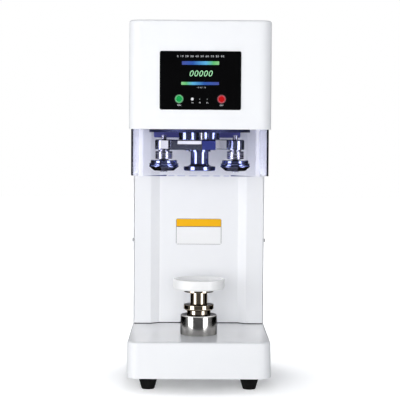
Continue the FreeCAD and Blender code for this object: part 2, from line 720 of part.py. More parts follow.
column_openings = [
    box(f"base_column_opening_{number}", low, "upright_front - column_opening_room",
        f"{base_top} - plinth_height - 1", length, "upright_depth + 2 * column_opening_room",
        "plinth_height + 2")
    for number, (low, length) in enumerate((
        ("-upright_outer_half - column_opening_room", upright_slot),
        (f"-{boss_side} + boss_room", f"2 * ({boss_side} - boss_room)"),
        ("upright_outer_half - upright_width - column_opening_room", upright_slot),
    ))
]
guide_opening = rod("base_guide_opening", 0, axis_y, f"{base_top} - 2 * housing_wall",
                    "guide_lower_radius + guide_hole_gap", "3 * housing_wall")
node("base_cover", cut("base_cover", fuse("base_body", rounded_shell, *bosses),
                       *column_openings, guide_opening, *boss_holes))

# Base plate, feet and their screws
plate_half = f"({base_half} - housing_wall - plate_room)"
plate_end = f"({base_end} - housing_wall - plate_room)"
plate = padded("base_plate_blank", rectangle(plate_half, f"-{plate_end}", plate_end), "plate_thickness",
               z="foot_height")
cornered(plate, "base_plate_corners", "housing_wall - plate_room")
plate_holes = [rod(f"base_plate_hole_{number}", x, y, "foot_height - 1", "foot_screw_radius + screw_room",
                   "plate_thickness + 2")
               for number, (x, y) in enumerate(foot_places)]
node("base_plate", cut("base_plate", plate, *plate_holes))

foot_recess = "(foot_height / 3)"
foot_profile = [
    ("foot_screw_radius + screw_room", foot_recess),
    ("foot_floor_radius / 2", foot_recess),
    ("foot_floor_radius / 2", "0"),
    ("foot_floor_radius", "0"),
    ("foot_top_radius", "0.8 * foot_height"),
    ("foot_top_radius", "foot_height"),
    ("foot_screw_radius + screw_room", "foot_height"),
]
node("rubber_feet", group("rubber_feet", [turned(f"foot_{number}", foot_profile, x, y)
                                          for number, (x, y) in enumerate(foot_places)]))
screw_profile = [
    ("0", f"{foot_recess} - foot_screw_head_height"),
    ("foot_screw_head_radius", f"{foot_recess} - foot_screw_head_height"),
    ("foot_screw_head_radius", foot_recess),
    ("foot_screw_radius", foot_recess),
    ("foot_screw_radius", f"{base_floor} + foot_screw_reach"),
    ("0", f"{base_floor} + foot_screw_reach"),
]
node("foot_screws", group("foot_screws", [turned(f"foot_screw_{number}", screw_profile, x, y)
                                          for number, (x, y) in enumerate(foot_places)]))

# Column frame: two channel uprights joined by a mounting web
frame_height = f"({head_plate_bottom} - {base_floor})"
frame_pieces = []
for side, hand in ((-1, "left"), (1, "right")):
    back = "(upright_front + upright_depth)"
    lip = "(upright_outer_half - upright_width)"
    inside = "(upright_outer_half - upright_sheet)"
    channel = [
        (f"{side} * upright_outer_half", "upright_front"),
        (f"{side} * upright_outer_half", back),
        (f"{side} * {lip}", back),
        (f"{side} * {lip}", f"{back} - upright_sheet"),
        (f"{side} * {inside}", f"{back} - upright_sheet"),
        (f"{side} * {inside}", "upright_front + upright_sheet"),
        (f"{side} * {lip}", "upright_front + upright_sheet"),
        (f"{side} * {lip}", "upright_front"),
    ]
    frame_pieces.append(padded(f"upright_{hand}", channel, frame_height, z=base_floor))
    low_corner = lip if side == 1 else "-upright_outer_half"
    frame_pieces.append(box(f"upright_foot_{hand}", low_corner, "upright_front", base_floor,
                            "upright_width", "upright_depth", "upright_foot_thickness"))
web_front = "(upright_front + web_set_back)"
web = box("web", "-upright_outer_half + upright_sheet / 2", web_front, f"{base_top} + web_bottom_rise",
          "2 * upright_outer_half - upright_sheet", "web_thickness", "web_height")
cable_hole = rod("web_cable_hole", 0, f"{web_front} - 1",
                 f"{base_top} + web_bottom_rise + web_height - cable_hole_drop",
                 "cable_hole_radius", "web_thickness + 2", "Y")
node("column_frame", fuse("column_frame", *frame_pieces, cut("web_cut", web, cable_hole)))

# Column front panel: folded sheet with a recessed middle and side flanges
panel_half = f"({half_width} - panel_edge_gap)"
panel_slope = "(panel_outer_half - panel_inner_half)"
bend = f"sheet_thickness * tan(atan(panel_recess / {panel_slope}) / 2)"
front = "column_front"
recessed = "(column_front + panel_recess)"
flange_back = "(column_front + panel_return)"
right_outside = [
    ("panel_inner_half", recessed),
    ("panel_outer_half", front),
    (panel_half, front),
    (panel_half, flange_back),
]
right_inside = [
    (f"{panel_half} - sheet_thickness", flange_back),
    (f"{panel_half} - sheet_thickness", f"{front} + sheet_thickness"),
    (f"panel_outer_half + {bend}", f"{front} + sheet_thickness"),
    (f"panel_inner_half + {bend}", f"{recessed} + sheet_thickness"),
]
left_inside = [(f"-({across})", back) for across, back in reversed(right_inside)]
left_outside = [(f"-({across})", back) for across, back in reversed(right_outside)]
folded = padded("front_panel_sheet", right_outside + right_inside + left_inside + left_outside,
                sheet_height, z=sheet_bottom)
side_screw_height = f"({base_top} + side_screw_rise)"
side_screw_place = "(column_front + side_screw_back)"
shell_outer = f"({panel_half} + shell_gap + shell_thickness)"
side_holes = [rod(f"front_panel_hole_{hand}", start, side_screw_place, side_screw_height,
                  "cover_screw_radius + screw_room", "cover_screw_length + 2", "X")
              for hand, start in (("left", f"-{shell_outer} - 1"),
                                  ("right", f"{shell_outer} - cover_screw_length - 1"))]
node("column_front_panel", cut("column_front_panel", folded, *side_holes))

# Side panels: folded sheets with a rear flange, on each side of the column
shell_rear = f"({half_depth} - shell_back)"
flange_screw = f"({shell_outer} - shell_flange / 2)"
rear_screw_heights = [f"({base_top} + rear_cover_margin + rear_screw_inset)",
                      f"({base_top} + bay_height / 2)",
                      f"({head_bottom} - rear_cover_margin - rear_screw_inset)"]
rear_places = [(side, height) for side in (-1, 1) for height in rear_screw_heights]
side_panels = []
for side, hand in ((-1, "left"), (1, "right")):
    corners = [
        (f"{side} * {shell_outer}", "column_front + face_gap"),
        (f"{side} * {shell_outer}", shell_rear),
        (f"{side} * ({shell_outer} - shell_flange)", shell_rear),
        (f"{side} * ({shell_outer} - shell_flange)", f"{shell_rear} - shell_thickness"),
        (f"{side} * ({shell_outer} - shell_thickness)", f"{shell_rear} - shell_thickness"),
        (f"{side} * ({shell_outer} - shell_thickness)", "column_front + face_gap"),
    ]
    side_panels.append(padded(f"side_panel_{hand}", corners, sheet_height, z=sheet_bottom))
panel_holes = [rod(f"side_panel_hole_{hand}", start, side_screw_place, side_screw_height,
                   "cover_screw_radius + screw_room", "cover_screw_length", "X")
               for hand, start in (("left", f"-{shell_outer} - 1"),
                                   ("right", f"{shell_outer} - cover_screw_length + 1"))]
rear_holes = [rod(f"side_panel_rear_hole_{number}", f"{side} * {flange_screw}",
                  f"{shell_rear} - cover_screw_length / 2", height,
                  "cover_screw_radius + screw_room", "cover_screw_length", "Y")
              for number, (side, height) in enumerate(rear_places)]
node("column_side_panels", cut("column_side_panels", group("side_panel_pair", side_panels),
                               *panel_holes, *rear_holes))

# Rear cover: flat sheet with louvres, the power inlet and the switch
cover_half = f"({half_width} - rear_cover_inset)"
cover_bottom = f"({base_top} + rear_cover_margin)"
cover = box("rear_cover_blank", f"-{cover_half}", rear_inside, cover_bottom, f"2 * {cover_half}",
            "sheet_thickness", "bay_height - 2 * rear_cover_margin")
louvres = [box(f"louvre_{number}", "-louvre_width / 2", f"{rear_inside} - 1",
               f"{base_top} + bay_height / 2 + {number} * louvre_step", "louvre_width",
               "sheet_thickness + 2", "louvre_height")
           for number in range(int(sheet.get("louvre_count")))]
cover_holes = [rod(f"rear_cover_hole_{number}", f"{side} * {flange_screw}", f"{rear_inside} - 1", height,
                   "cover_screw_radius + screw_room", "sheet_thickness + 2", "Y")
               for number, (side, height) in enumerate(rear_places)]
inlet_hole = box("rear_inlet_hole", "-inlet_offset - inlet_body_width / 2 - face_gap", f"{rear_inside} - 1",
                 f"{socket_height} - inlet_body_height / 2 - face_gap", "inlet_body_width + 2 * face_gap",
                 "sheet_thickness + 2", "inlet_body_height + 2 * face_gap")
swing = "(rocker_half_length * cos(rocker_tilt) + rocker_face * sin(rocker_tilt))"
switch_half_width = "(rocker_width / 2 + switch_room + switch_wall)"
switch_half_height = f"({swing} + switch_room + switch_wall)"
switch_hole = box("rear_switch_hole", f"switch_offset - {switch_half_width} - face_gap", f"{rear_inside} - 1",
                  f"{socket_height} - {switch_half_height} - face_gap",
                  f"2 * {switch_half_width} + 2 * face_gap", "sheet_thickness + 2",
                  f"2 * {switch_half_height} + 2 * face_gap")
node("rear_cover", cut("rear_cover", cover, inlet_hole, switch_hole, *louvres, *cover_holes))


def button_screw(name, x, y, z, along, outward, length):
    """A button-head screw whose head sits on the place given."""
    head_start = "0" if outward > 0 else "-cover_head_height"
    shank_start = f"-({length})" if outward > 0 else "0"
    spot = {"X": x, "Y": y}
    pieces = []
    for label, start, radius, reach in (
        ("head", head_start, "cover_head_radius", "cover_head_height"),
        ("shank", shank_start, "cover_screw_radius", length),
    ):
        at = dict(spot)
        at[along] = f"{spot[along]} + {start}"
        pieces.append(rod(f"{name}_{label}", at["X"], at["Y"], z, radius, reach, along))
    return fuse(name, *pieces)


# Cover screws: button heads on the sides and at the back, and in the guard below
cover_screws = [button_screw("side_screw_left", f"-{shell_outer}", side_screw_place, side_screw_height, "X",
                             -1,
                             "cover_screw_length"),
                button_screw("side_screw_right", shell_outer, side_screw_place, side_screw_height, "X", 1,
                             "cover_screw_length")]
for number, (side, height) in enumerate(rear_places):
    cover_screws.append(button_screw(f"rear_screw_{number}", f"{side} * {flange_screw}", rear_face, height,
                                     "Y", 1, "cover_screw_length"))

# Head housing: moulded hood over the head, open below, with vents at the back
hood = padded("head_outer", rectangle(half_width, f"-{half_depth}", half_depth), "head_height", z=head_bottom)
cornered(hood, "head_outer_corners")
rounded(hood, "head_outer_top", "top_edge_radius", top_edge)
hollow = padded("head_inner", rectangle(inner_half, f"-{inner_front}", inner_front),
                "head_height - housing_wall", z=head_bottom)
cornered(hollow, "head_inner_corners", "housing_wall")
window_half = "(panel_width / 2 - window_margin)"
window = box("head_window", f"-{window_half}", f"-{half_depth} - 1", f"{panel_bottom} + window_margin / 2",
             f"2 * {window_half}", "housing_wall + 2", "panel_height - window_margin")
vents = [box(f"vent_{number}", "-vent_width / 2", f"{inner_front} - 1",
             f"{head_bottom} + vent_rise + {number} * vent_step", "vent_width", "housing_wall + 2",
             "vent_height")
         for number in range(int(sheet.get("vent_count")))]
node("head_housing", cut("head_housing", hood, hollow, window, *vents))

# Bottom plate of the head: a tray with an upturned rim around the carrier disc
rim_half = f"({guard_half} - guard_thickness - guard_gap)"
rim_front = f"({guard_front} - guard_thickness - guard_gap)"
plate_bottom = f"({disc_top} - bottom_plate_thickness)"
tray_outer = padded("bottom_plate_outer", rectangle(rim_half, f"-{rim_front}", "bottom_plate_back"),
                    "bottom_plate_thickness + rim_height", z=plate_bottom)
rim_corner = "(guard_corner_radius - guard_gap - guard_thickness)"
rounded(tray_outer, "bottom_plate_outer_corners", rim_corner, upright_front)
tray_inner = padded("bottom_plate_inner",
                    rectangle(f"{rim_half} - bottom_plate_thickness",
                              f"-({rim_front} - bottom_plate_thickness)",
                              "bottom_plate_back - bottom_plate_thickness"),
                    "rim_height + 1", z=disc_top)
rounded(tray_inner, "bottom_plate_inner_corners", f"{rim_corner} - bottom_plate_thickness", upright_front)
disc_hole = rod("bottom_plate_disc_hole", 0, axis_y, f"{plate_bottom} - 1", "disc_radius + disc_hole_gap",
                "bottom_plate_thickness + 2")
guard_screw_height = f"({disc_top} + rim_height / 2)"
guard_screw_sides = [(side, along) for side in (-1, 1)
                     for along in ("-guard_screw_front", "guard_screw_back")]
guard_screw_fronts = ["-guard_screw_across", "guard_screw_across"]


def guard_holes(name):
    """Screw holes through rim and guard."""
    room = "cover_screw_radius + screw_room"
    reach = "(bottom_plate_thickness + 2 * guard_gap + guard_thickness + 4)"
    holes = []
    for number, (side, along) in enumerate(guard_screw_sides):
        start = f"{rim_half} - bottom_plate_thickness - 1" if side > 0 else f"-{guard_half} - 1"
        holes.append(rod(f"{name}_side_hole_{number}", start, along, guard_screw_height, room, reach, "X"))
    for number, across in enumerate(guard_screw_fronts):
        holes.append(rod(f"{name}_front_hole_{number}", across, f"-{guard_front} - 1", guard_screw_height,
                         room, reach, "Y"))
    return holes


node("head_bottom_plate", cut("head_bottom_plate", tray_outer, tray_inner, disc_hole,
                              *guard_holes("bottom_plate")))

# Safety guard: clear acrylic bent in a U, clamped between hood and rim
guard_bottom = f"({head_bottom} - guard_drop)"
guard_back = "(column_front - guard_rear_gap)"
sheet_outer = padded("guard_outer", rectangle(guard_half, f"-{guard_front}", guard_back),
                     "guard_drop + guard_rise", z=guard_bottom)
rounded(sheet_outer, "guard_outer_corners", "guard_corner_radius", upright_front)
sheet_inner = padded("guard_inner", rectangle(f"{guard_half} - guard_thickness",
                                              f"-({guard_front} - guard_thickness)", "column_front + 5"),
                     "guard_drop + guard_rise + 2", z=f"{guard_bottom} - 1")
rounded(sheet_inner, "guard_inner_corners", "guard_corner_radius - guard_thickness", upright_front)
node("safety_guard", cut("safety_guard", sheet_outer, sheet_inner, *guard_holes("guard")))

screw_seat = f"({rim_half} - bottom_plate_thickness)"
front_seat = f"({rim_front} - bottom_plate_thickness)"
screw_reach = "bottom_plate_thickness + guard_gap + guard_thickness"
guard_screws = [button_screw(f"guard_side_screw_{number}", f"{side} * {screw_seat}", along,
                             guard_screw_height, "X", -side, screw_reach)
                for number, (side, along) in enumerate(guard_screw_sides)]
guard_screws += [button_screw(f"guard_front_screw_{number}", across, f"-{front_seat}", guard_screw_height,
                              "Y", 1, screw_reach)
                 for number, across in enumerate(guard_screw_fronts)]
node("cover_screws", group("cover_screws", cover_screws + guard_screws))

# Control panel: black glass, display, push buttons and their board
panel_corners = [
    ("-panel_width / 2", panel_bottom),
    ("panel_width / 2", panel_bottom),
    ("panel_width / 2", f"{panel_bottom} + panel_height"),
    ("-panel_width / 2", f"{panel_bottom} + panel_height"),
]
glass = padded("panel_glass_blank", panel_corners, "panel_thickness",
               y=f"-{half_depth} - panel_thickness / 2", plane="XZ_Plane")
rounded(glass, "panel_glass_corners", "panel_corner", lying)
button_sides = ((-1, "start"), (1, "stop"))
glass_holes = [rod(f"panel_glass_hole_{word}", f"{side} * button_spread",
                   f"-{half_depth} - panel_thickness - 1",
                   button_height, "ring_radius + running_gap", "panel_thickness + 2", "Y")
               for side, word in button_sides]
node("control_panel_glass", cut("control_panel_glass", glass, *glass_holes))
node("display_module", box("display_module", "-display_width / 2", f"-{half_depth} + face_gap",
                           f"{head_bottom} + display_rise", "display_width", "display_depth",
                           "display_height"))

rings = []
switches = []
for side, word in button_sides:
    ring = rod(f"button_ring_{word}", f"{side} * button_spread", f"-{half_depth} - ring_proud", button_height,
               "ring_radius", "ring_length", "Y")
    hole = rod(f"button_ring_hole_{word}", f"{side} * button_spread", f"-{half_depth} - ring_proud - 1",
               button_height, "button_radius + button_room", "ring_length + 2", "Y")
    rings.append(cut(f"button_ring_cut_{word}", ring, hole))
    switch_front = f"(-{half_depth} - button_proud + button_length + button_travel + face_gap)"
    switches.append(rod(f"button_switch_{word}", f"{side} * button_spread", switch_front, button_height,
                        "button_switch_radius", f"{panel_board_front} - {switch_front}", "Y"))
node("button_rings", group("button_rings", rings))
for side, word in button_sides:
    node(f"{word}_button", rod(f"{word}_button", f"{side} * button_spread", f"-{half_depth} - button_proud",
                               button_height, "button_radius", "button_length", "Y"))
board_half = "(panel_width / 2 - window_margin / 2)"
board = box("panel_board_blank", f"-{board_half}", panel_board_front, f"{panel_bottom} - panel_board_margin",
            f"2 * {board_half}", "board_thickness", "panel_height + 2 * panel_board_margin")
spacers = [rod(f"panel_spacer_{side}_{end}", f"{side} * ({board_half} - panel_board_spacer)",
               f"-{inner_front}",
               f"{panel_bottom} + {end} * panel_height", "panel_board_spacer",
               "panel_board_depth - housing_wall", "Y")
           for side in (-1, 1) for end in (0, 1)]
node("panel_board", fuse("panel_board", board, *spacers, *switches))

# Column electrics on the mounting web
node("power_supply", box("power_supply", "-supply_width / 2", f"{web_front} + web_thickness",
                         f"{base_top} + supply_rise", "supply_width", "supply_depth", "supply_height"))
board_back = f"({web_front} - board_spacer)"
board_low = f"({base_top} + board_rise)"
control = [box("control_board_sheet", "-board_width / 2", f"{board_back} - board_thickness", board_low,
               "board_width", "board_thickness", "board_height")]
for side in (-1, 1):
    for end in (0, 1):
        control.append(rod(f"control_spacer_{side}_{end}", f"{side} * (board_width / 2 - spacer_inset)",
                           board_back,
                           f"{board_low} + spacer_inset + {end} * (board_height - 2 * spacer_inset)",
                           "panel_board_spacer", "board_spacer", "Y"))
for number in range(int(sheet.get("relay_count"))):
    control.append(box(f"control_relay_{number}", f"-relay_side + {number} * relay_step",
                       f"{board_back} - board_thickness - relay_depth", f"{board_low} + relay_rise",
                       "relay_width", "relay_depth", "relay_height"))
node("control_board", fuse("control_board", *control))

# Power inlet with its three pins, and the rocker switch
inlet_left = "(-inlet_offset - inlet_body_width / 2)"
inlet_low = f"({socket_height} - inlet_body_height / 2)"
inlet_mouth = f"({rear_face} + inlet_flange)"
inlet_body = box("inlet_body", inlet_left, f"{rear_face} - inlet_body_depth", inlet_low, "inlet_body_width",
                 "inlet_body_depth", "inlet_body_height")
inlet_plate = box("inlet_plate", f"{inlet_left} - inlet_flange", rear_face, f"{inlet_low} - inlet_flange",
                  "inlet_body_width + 2 * inlet_flange", "inlet_flange",
                  "inlet_body_height + 2 * inlet_flange")
cavity = box("inlet_cavity", "-inlet_offset - inlet_cavity_width / 2", f"{inlet_mouth} - inlet_cavity_depth",
             f"{socket_height} - inlet_cavity_height / 2", "inlet_cavity_width", "inlet_cavity_depth + 1",
             "inlet_cavity_height")
pins = [box(f"inlet_pin_{number}", f"-inlet_offset - inlet_pin_width / 2 + {across}",
            f"{inlet_mouth} - inlet_cavity_depth - 1",
            f"{socket_height} - inlet_pin_height / 2 + {rise}", "inlet_pin_width", "inlet_pin_length + 1",
            "inlet_pin_height")
        for number, (across, rise) in enumerate((("-inlet_pin_side", "-inlet_pin_drop"),
                                                ("inlet_pin_side", "-inlet_pin_drop"),
                                                ("0", "inlet_earth_rise")))]
node("power_inlet", fuse("power_inlet", cut("inlet_socket", fuse("inlet_block", inlet_body, inlet_plate),
                                            cavity),
                         *pins))

pivot_y = f"({rear_face} - rocker_pivot_depth)"
switch_body = box("switch_body", f"switch_offset - {switch_half_width}", f"{rear_face} - switch_depth",
                  f"{socket_height} - {switch_half_height}", f"2 * {switch_half_width}", "switch_depth",
                  f"2 * {switch_half_height}")
switch_plate = box("switch_plate", f"switch_offset - {switch_half_width} - switch_flange_proud", rear_face,
                   f"{socket_height} - {switch_half_height} - switch_flange_proud",
                   f"2 * ({switch_half_width} + switch_flange_proud)",
                   "switch_flange", f"2 * ({switch_half_height} + switch_flange_proud)")
switch_cavity = box("switch_cavity", f"switch_offset - rocker_width / 2 - switch_room",
                    f"{pivot_y} - switch_cavity",
                    f"{socket_height} - {swing} - switch_room", "rocker_width + 2 * switch_room",
                    "rocker_pivot_depth + switch_flange + switch_cavity + 1",
                    f"2 * {swing} + 2 * switch_room")
node("switch_housing", cut("switch_housing", fuse("switch_block", switch_body, switch_plate), switch_cavity))
rocker_outline = [
    ("-rocker_back", "-rocker_half_length / 2"),
    ("rocker_face / 2", "-rocker_half_length"),
    ("rocker_face", "-rocker_half_length"),
    ("rocker_face - rocker_dip", "0"),
    ("rocker_face", "rocker_half_length"),
    ("rocker_face / 2", "rocker_half_length"),
    ("-rocker_back", "rocker_half_length / 2"),
]
lean = "-rocker_tilt"
leaning = [(f"({along}) * cos({lean}) - ({up}) * sin({lean})",
            f"({along}) * sin({lean}) + ({up}) * cos({lean})")
           for along, up in rocker_outline]
node("power_rocker", padded("power_rocker", leaning, "rocker_width", x="switch_offset", y=pivot_y,
                            z=socket_height, plane="YZ_Plane"))

# Head plate with pillars down to the bottom plate
plate_back = "(upright_front + upright_depth)"
slab = box("head_plate_blank", "-head_plate_half", "-head_plate_front", head_plate_bottom,
           "2 * head_plate_half", f"head_plate_front + {plate_back}", "head_plate_thickness")
pillars = [rod(f"pillar_{side}_{number}", f"{side} * pillar_side", along, disc_top, "pillar_radius",
               f"{head_plate_bottom} - {disc_top} + 1")
           for side in (-1, 1) for number, along in enumerate(("-pillar_front", "pillar_back"))]
spindle_hole = rod("head_plate_spindle_hole", 0, axis_y, f"{head_plate_bottom} - 1", "head_plate_hole",
                   "head_plate_thickness + 2")
motor_hole = rod("head_plate_motor_hole", 0, "motor_back", f"{head_plate_bottom} - 1",
                 "motor_shaft_radius + motor_hole_room", "head_plate_thickness + 2")
node("head_plate", cut("head_plate", fuse("head_plate_body", slab, *pillars), spindle_hole, motor_hole))

# Spindle bearings in their housing
housing_profile = [
    ("head_plate_hole", head_plate_top),
    ("bearing_flange_radius", head_plate_top),
    ("bearing_flange_radius", f"{head_plate_top} + bearing_flange_height"),
    ("bearing_housing_radius", f"{head_plate_top} + bearing_flange_height"),
    ("bearing_housing_radius", f"{bearings_top} + bearing_cover"),
    ("bearing_radius + press_gap", f"{bearings_top} + bearing_cover"),
    ("bearing_radius + press_gap", upper_bearing),
    ("bearing_web_radius", upper_bearing),
    ("bearing_web_radius", f"{lower_bearing} + bearing_width"),
    ("bearing_radius + press_gap", f"{lower_bearing} + bearing_width"),
    ("bearing_radius + press_gap", lower_bearing),
    ("head_plate_hole", lower_bearing),
]
node("bearing_housing", turned("bearing_housing", housing_profile, 0, axis_y))


def ring_pair(name, inside, outside):
    """One ring in each of the two spindle bearings."""
    rings = []
    for number, bottom in enumerate((lower_bearing, upper_bearing)):
        top = f"{bottom} + bearing_width"
        rings.append(turned(f"{name}_{number}",
                            [(inside, bottom), (outside, bottom), (outside, top), (inside, top)],
                            0, axis_y))
    return group(name, rings)


node("bearing_outer_rings", ring_pair("bearing_outer_rings", "bearing_split + ring_gap / 2",
                                      "bearing_radius"))
node("bearing_inner_rings", ring_pair("bearing_inner_rings", "bearing_seat_radius + press_gap",
                                      "bearing_split - ring_gap / 2"))

# Hollow spindle with its flange and lock nut
nut_bottom = f"({bearings_top} + face_gap)"
spindle_profile = [
    ("spindle_bore_radius", disc_bottom),
    ("hub_radius", disc_bottom),
    ("hub_radius", disc_top),
    ("spindle_flange_radius", disc_top),
    ("spindle_flange_radius", f"{disc_top} + spindle_flange_height"),
    ("spindle_radius", f"{disc_top} + spindle_flange_height"),
    ("spindle_radius", pulley_bottom),
    ("pulley_seat_radius", pulley_bottom),
    ("pulley_seat_radius", lower_bearing),
    ("bearing_seat_radius", lower_bearing),
    ("bearing_seat_radius", nut_bottom),
    ("spindle_nut_radius", nut_bottom),
    ("spindle_nut_radius", f"{nut_bottom} + spindle_nut_height"),
    ("spindle_bore_radius", f"{nut_bottom} + spindle_nut_height"),
]
node("hollow_spindle", turned("hollow_spindle", spindle_profile, 0, axis_y))
node("spindle_pulley", flanged_pulley("spindle_pulley", 0, axis_y, pulley_bottom, "pulley_height",
                                      "spindle_pulley_radius", "pulley_flange", "pulley_flange_proud",
                                      "pulley_seat_radius + press_gap"))

# Main motor with its pulley and the drive belt
motor_foot = box("motor_foot", "-motor_foot_half", "motor_back - motor_foot_half", head_plate_top,
                 "2 * motor_foot_half", "2 * motor_foot_half", "motor_foot_height")
motor_can = rod("motor_can", 0, "motor_back", head_plate_top, "motor_radius", "motor_height")
motor_cap = rod("motor_cap", 0, "motor_back", f"{head_plate_top} + motor_height - 1", "motor_cap_radius",
                "motor_cap_height + 1")
motor_bore = rod("motor_bore", 0, "motor_back", f"{head_plate_top} - 1", "motor_shaft_radius + running_gap",
                 "motor_shaft_depth + 2")
node("main_motor", cut("main_motor", fuse("motor_body", motor_foot, motor_can, motor_cap), motor_bore))


def with_motor_shaft(profile):
    top = f"{head_plate_top} + motor_shaft_depth"
    return profile[:-1] + [("motor_shaft_radius", pulley_top), ("motor_shaft_radius", top), ("0", top)]


node("motor_pulley", flanged_pulley("motor_pulley", 0, "motor_back", pulley_bottom, "pulley_height",
                                    "motor_pulley_radius", "pulley_flange", "pulley_flange_proud", "0",
                                    with_motor_shaft))


def cells(*names):
    return [float(sheet.get(name)) for name in names]


axis_forward, motor_back, lift_motor_back = cells("axis_forward", "motor_back", "lift_motor_back")
belt_gap, belt_thickness, lift_belt_thickness = cells("belt_gap", "belt_thickness", "lift_belt_thickness")
spindle_radius_b, motor_radius_b = cells("spindle_pulley_radius", "motor_pulley_radius")
screw_radius_b, lift_radius_b = cells("screw_pulley_radius", "lift_pulley_radius")
pulley_height, pulley_flange, lift_pulley_height = cells("pulley_height", "pulley_flange",
                                                         "lift_pulley_height")
doc.recompute()
drive_bottom = doc.getObject("spindle_pulley").Shape.BoundBox.ZMin + pulley_flange + belt_gap
node("drive_belt", belt("drive_belt", -axis_forward, spindle_radius_b + belt_gap, motor_back,
                        motor_radius_b + belt_gap, drive_bottom,
                        pulley_height - 2 * pulley_flange - 2 * belt_gap, belt_thickness))

# Chuck bridge, the fixed shaft and the seaming chuck
bar = box("bridge_bar", "-bridge_half", f"{axis_y} - bridge_width / 2", bridge_bottom, "2 * bridge_half",
          "bridge_width", "bridge_thickness")
legs = [rod(f"bridge_leg_{side}", f"{side} * bridge_leg_side", axis_y, head_plate_top, "bridge_leg_radius",
            "bridge_rise + 1") for side in (-1, 1)]
bridge_bore = rod("bridge_bore", 0, axis_y, f"{bridge_bottom} - 1", "chuck_shaft_radius + press_gap",
                  "bridge_thickness + 2")
node("chuck_bridge", cut("chuck_bridge", fuse("bridge_body", bar, *legs), bridge_bore))
shaft_foot = f"({chuck_bottom} + chuck_lip_height)"
shaft_profile = [
    ("0", shaft_foot),
    ("chuck_shaft_radius", shaft_foot),
    ("chuck_shaft_radius", bridge_top),
    ("shaft_nut_radius", bridge_top),
    ("shaft_nut_radius", f"{bridge_top} + shaft_nut_height"),
    ("0", f"{bridge_top} + shaft_nut_height"),
]
node("chuck_shaft", turned("chuck_shaft", shaft_profile, 0, axis_y))
chuck_profile = [
    ("0", f"{chuck_bottom} + chuck_recess_depth"),
    ("chuck_recess_radius", f"{chuck_bottom} + chuck_recess_depth"),
    ("chuck_recess_radius", chuck_bottom),
    ("chuck_radius - chuck_bevel", chuck_bottom),
    ("chuck_radius", f"{chuck_bottom} + chuck_bevel"),
    ("chuck_radius", f"{chuck_bottom} + chuck_lip_height"),
    ("chuck_flare_radius", f"{chuck_bottom} + chuck_lip_height + chuck_shoulder"),
    ("chuck_neck_radius", chuck_neck_bottom),
    ("chuck_neck_radius", f"{chuck_neck_bottom} + chuck_neck_height"),
    ("chuck_flange_radius", f"{chuck_neck_bottom} + chuck_neck_height"),
    ("chuck_flange_radius", chuck_top),
    ("chuck_shaft_radius + press_gap", chuck_top),
    ("chuck_shaft_radius + press_gap", shaft_foot),
    ("0", shaft_foot),
]
node("seaming_chuck", turned("seaming_chuck", chuck_profile, 0, axis_y))

# Carrier disc with the posts that hold the lever pivots
pivots = ((-1, 1), (1, 2))
disc = rod("disc_blank", 0, axis_y, disc_bottom, "disc_radius", "disc_thickness")
disc_cuts = [rod("disc_hub_hole", 0, axis_y, f"{disc_bottom} - 1", "hub_radius + press_gap",
                 "disc_thickness + 2")]
posts = []
springs = []
for side, number in pivots:
    pivot_place = (f"{side} * pivot_side", f"{axis_y} + {side} * pivot_front")
    disc_cuts.append(rod(f"disc_pivot_hole_{number}", *pivot_place, f"{disc_bottom} - 1",
                         "pivot_radius + running_gap", "disc_thickness + 2"))
    for lightening in (-1, 1):
        disc_cuts.append(rod(f"disc_hole_{number}_{lightening}", f"{side} * disc_hole_side",
                             f"{axis_y} + {side} * (disc_hole_shift + {lightening} * disc_hole_spread)",
                             f"{disc_bottom} - 1", "disc_hole_radius", "disc_thickness + 2"))
    post = rod(f"post_{number}", *pivot_place, f"{lever_top} + face_gap", "post_radius", "post_height")
    bore = rod(f"post_bore_{number}", *pivot_place, lever_top, "pivot_radius + running_gap",
               "post_height + 2")
    posts.append(cut(f"pivot_post_{number}", post, bore))
    for turn in range(int(sheet.get("spring_turns"))):
        coil = doc.addObject("Part::Torus", f"spring_turn_{number}_{turn}")
        bind(coil, "Radius1", "spring_coil_radius")
        bind(coil, "Radius2", "spring_wire_radius")
        springs.append(place(coil, *pivot_place,
                             f"{disc_top} + face_gap + spring_wire_radius + {turn} * spring_step"))
node("carrier_disc", cut("carrier_disc", disc, *disc_cuts))
node("pivot_posts", group("pivot_posts", posts))
node("return_springs", group("return_springs", springs))


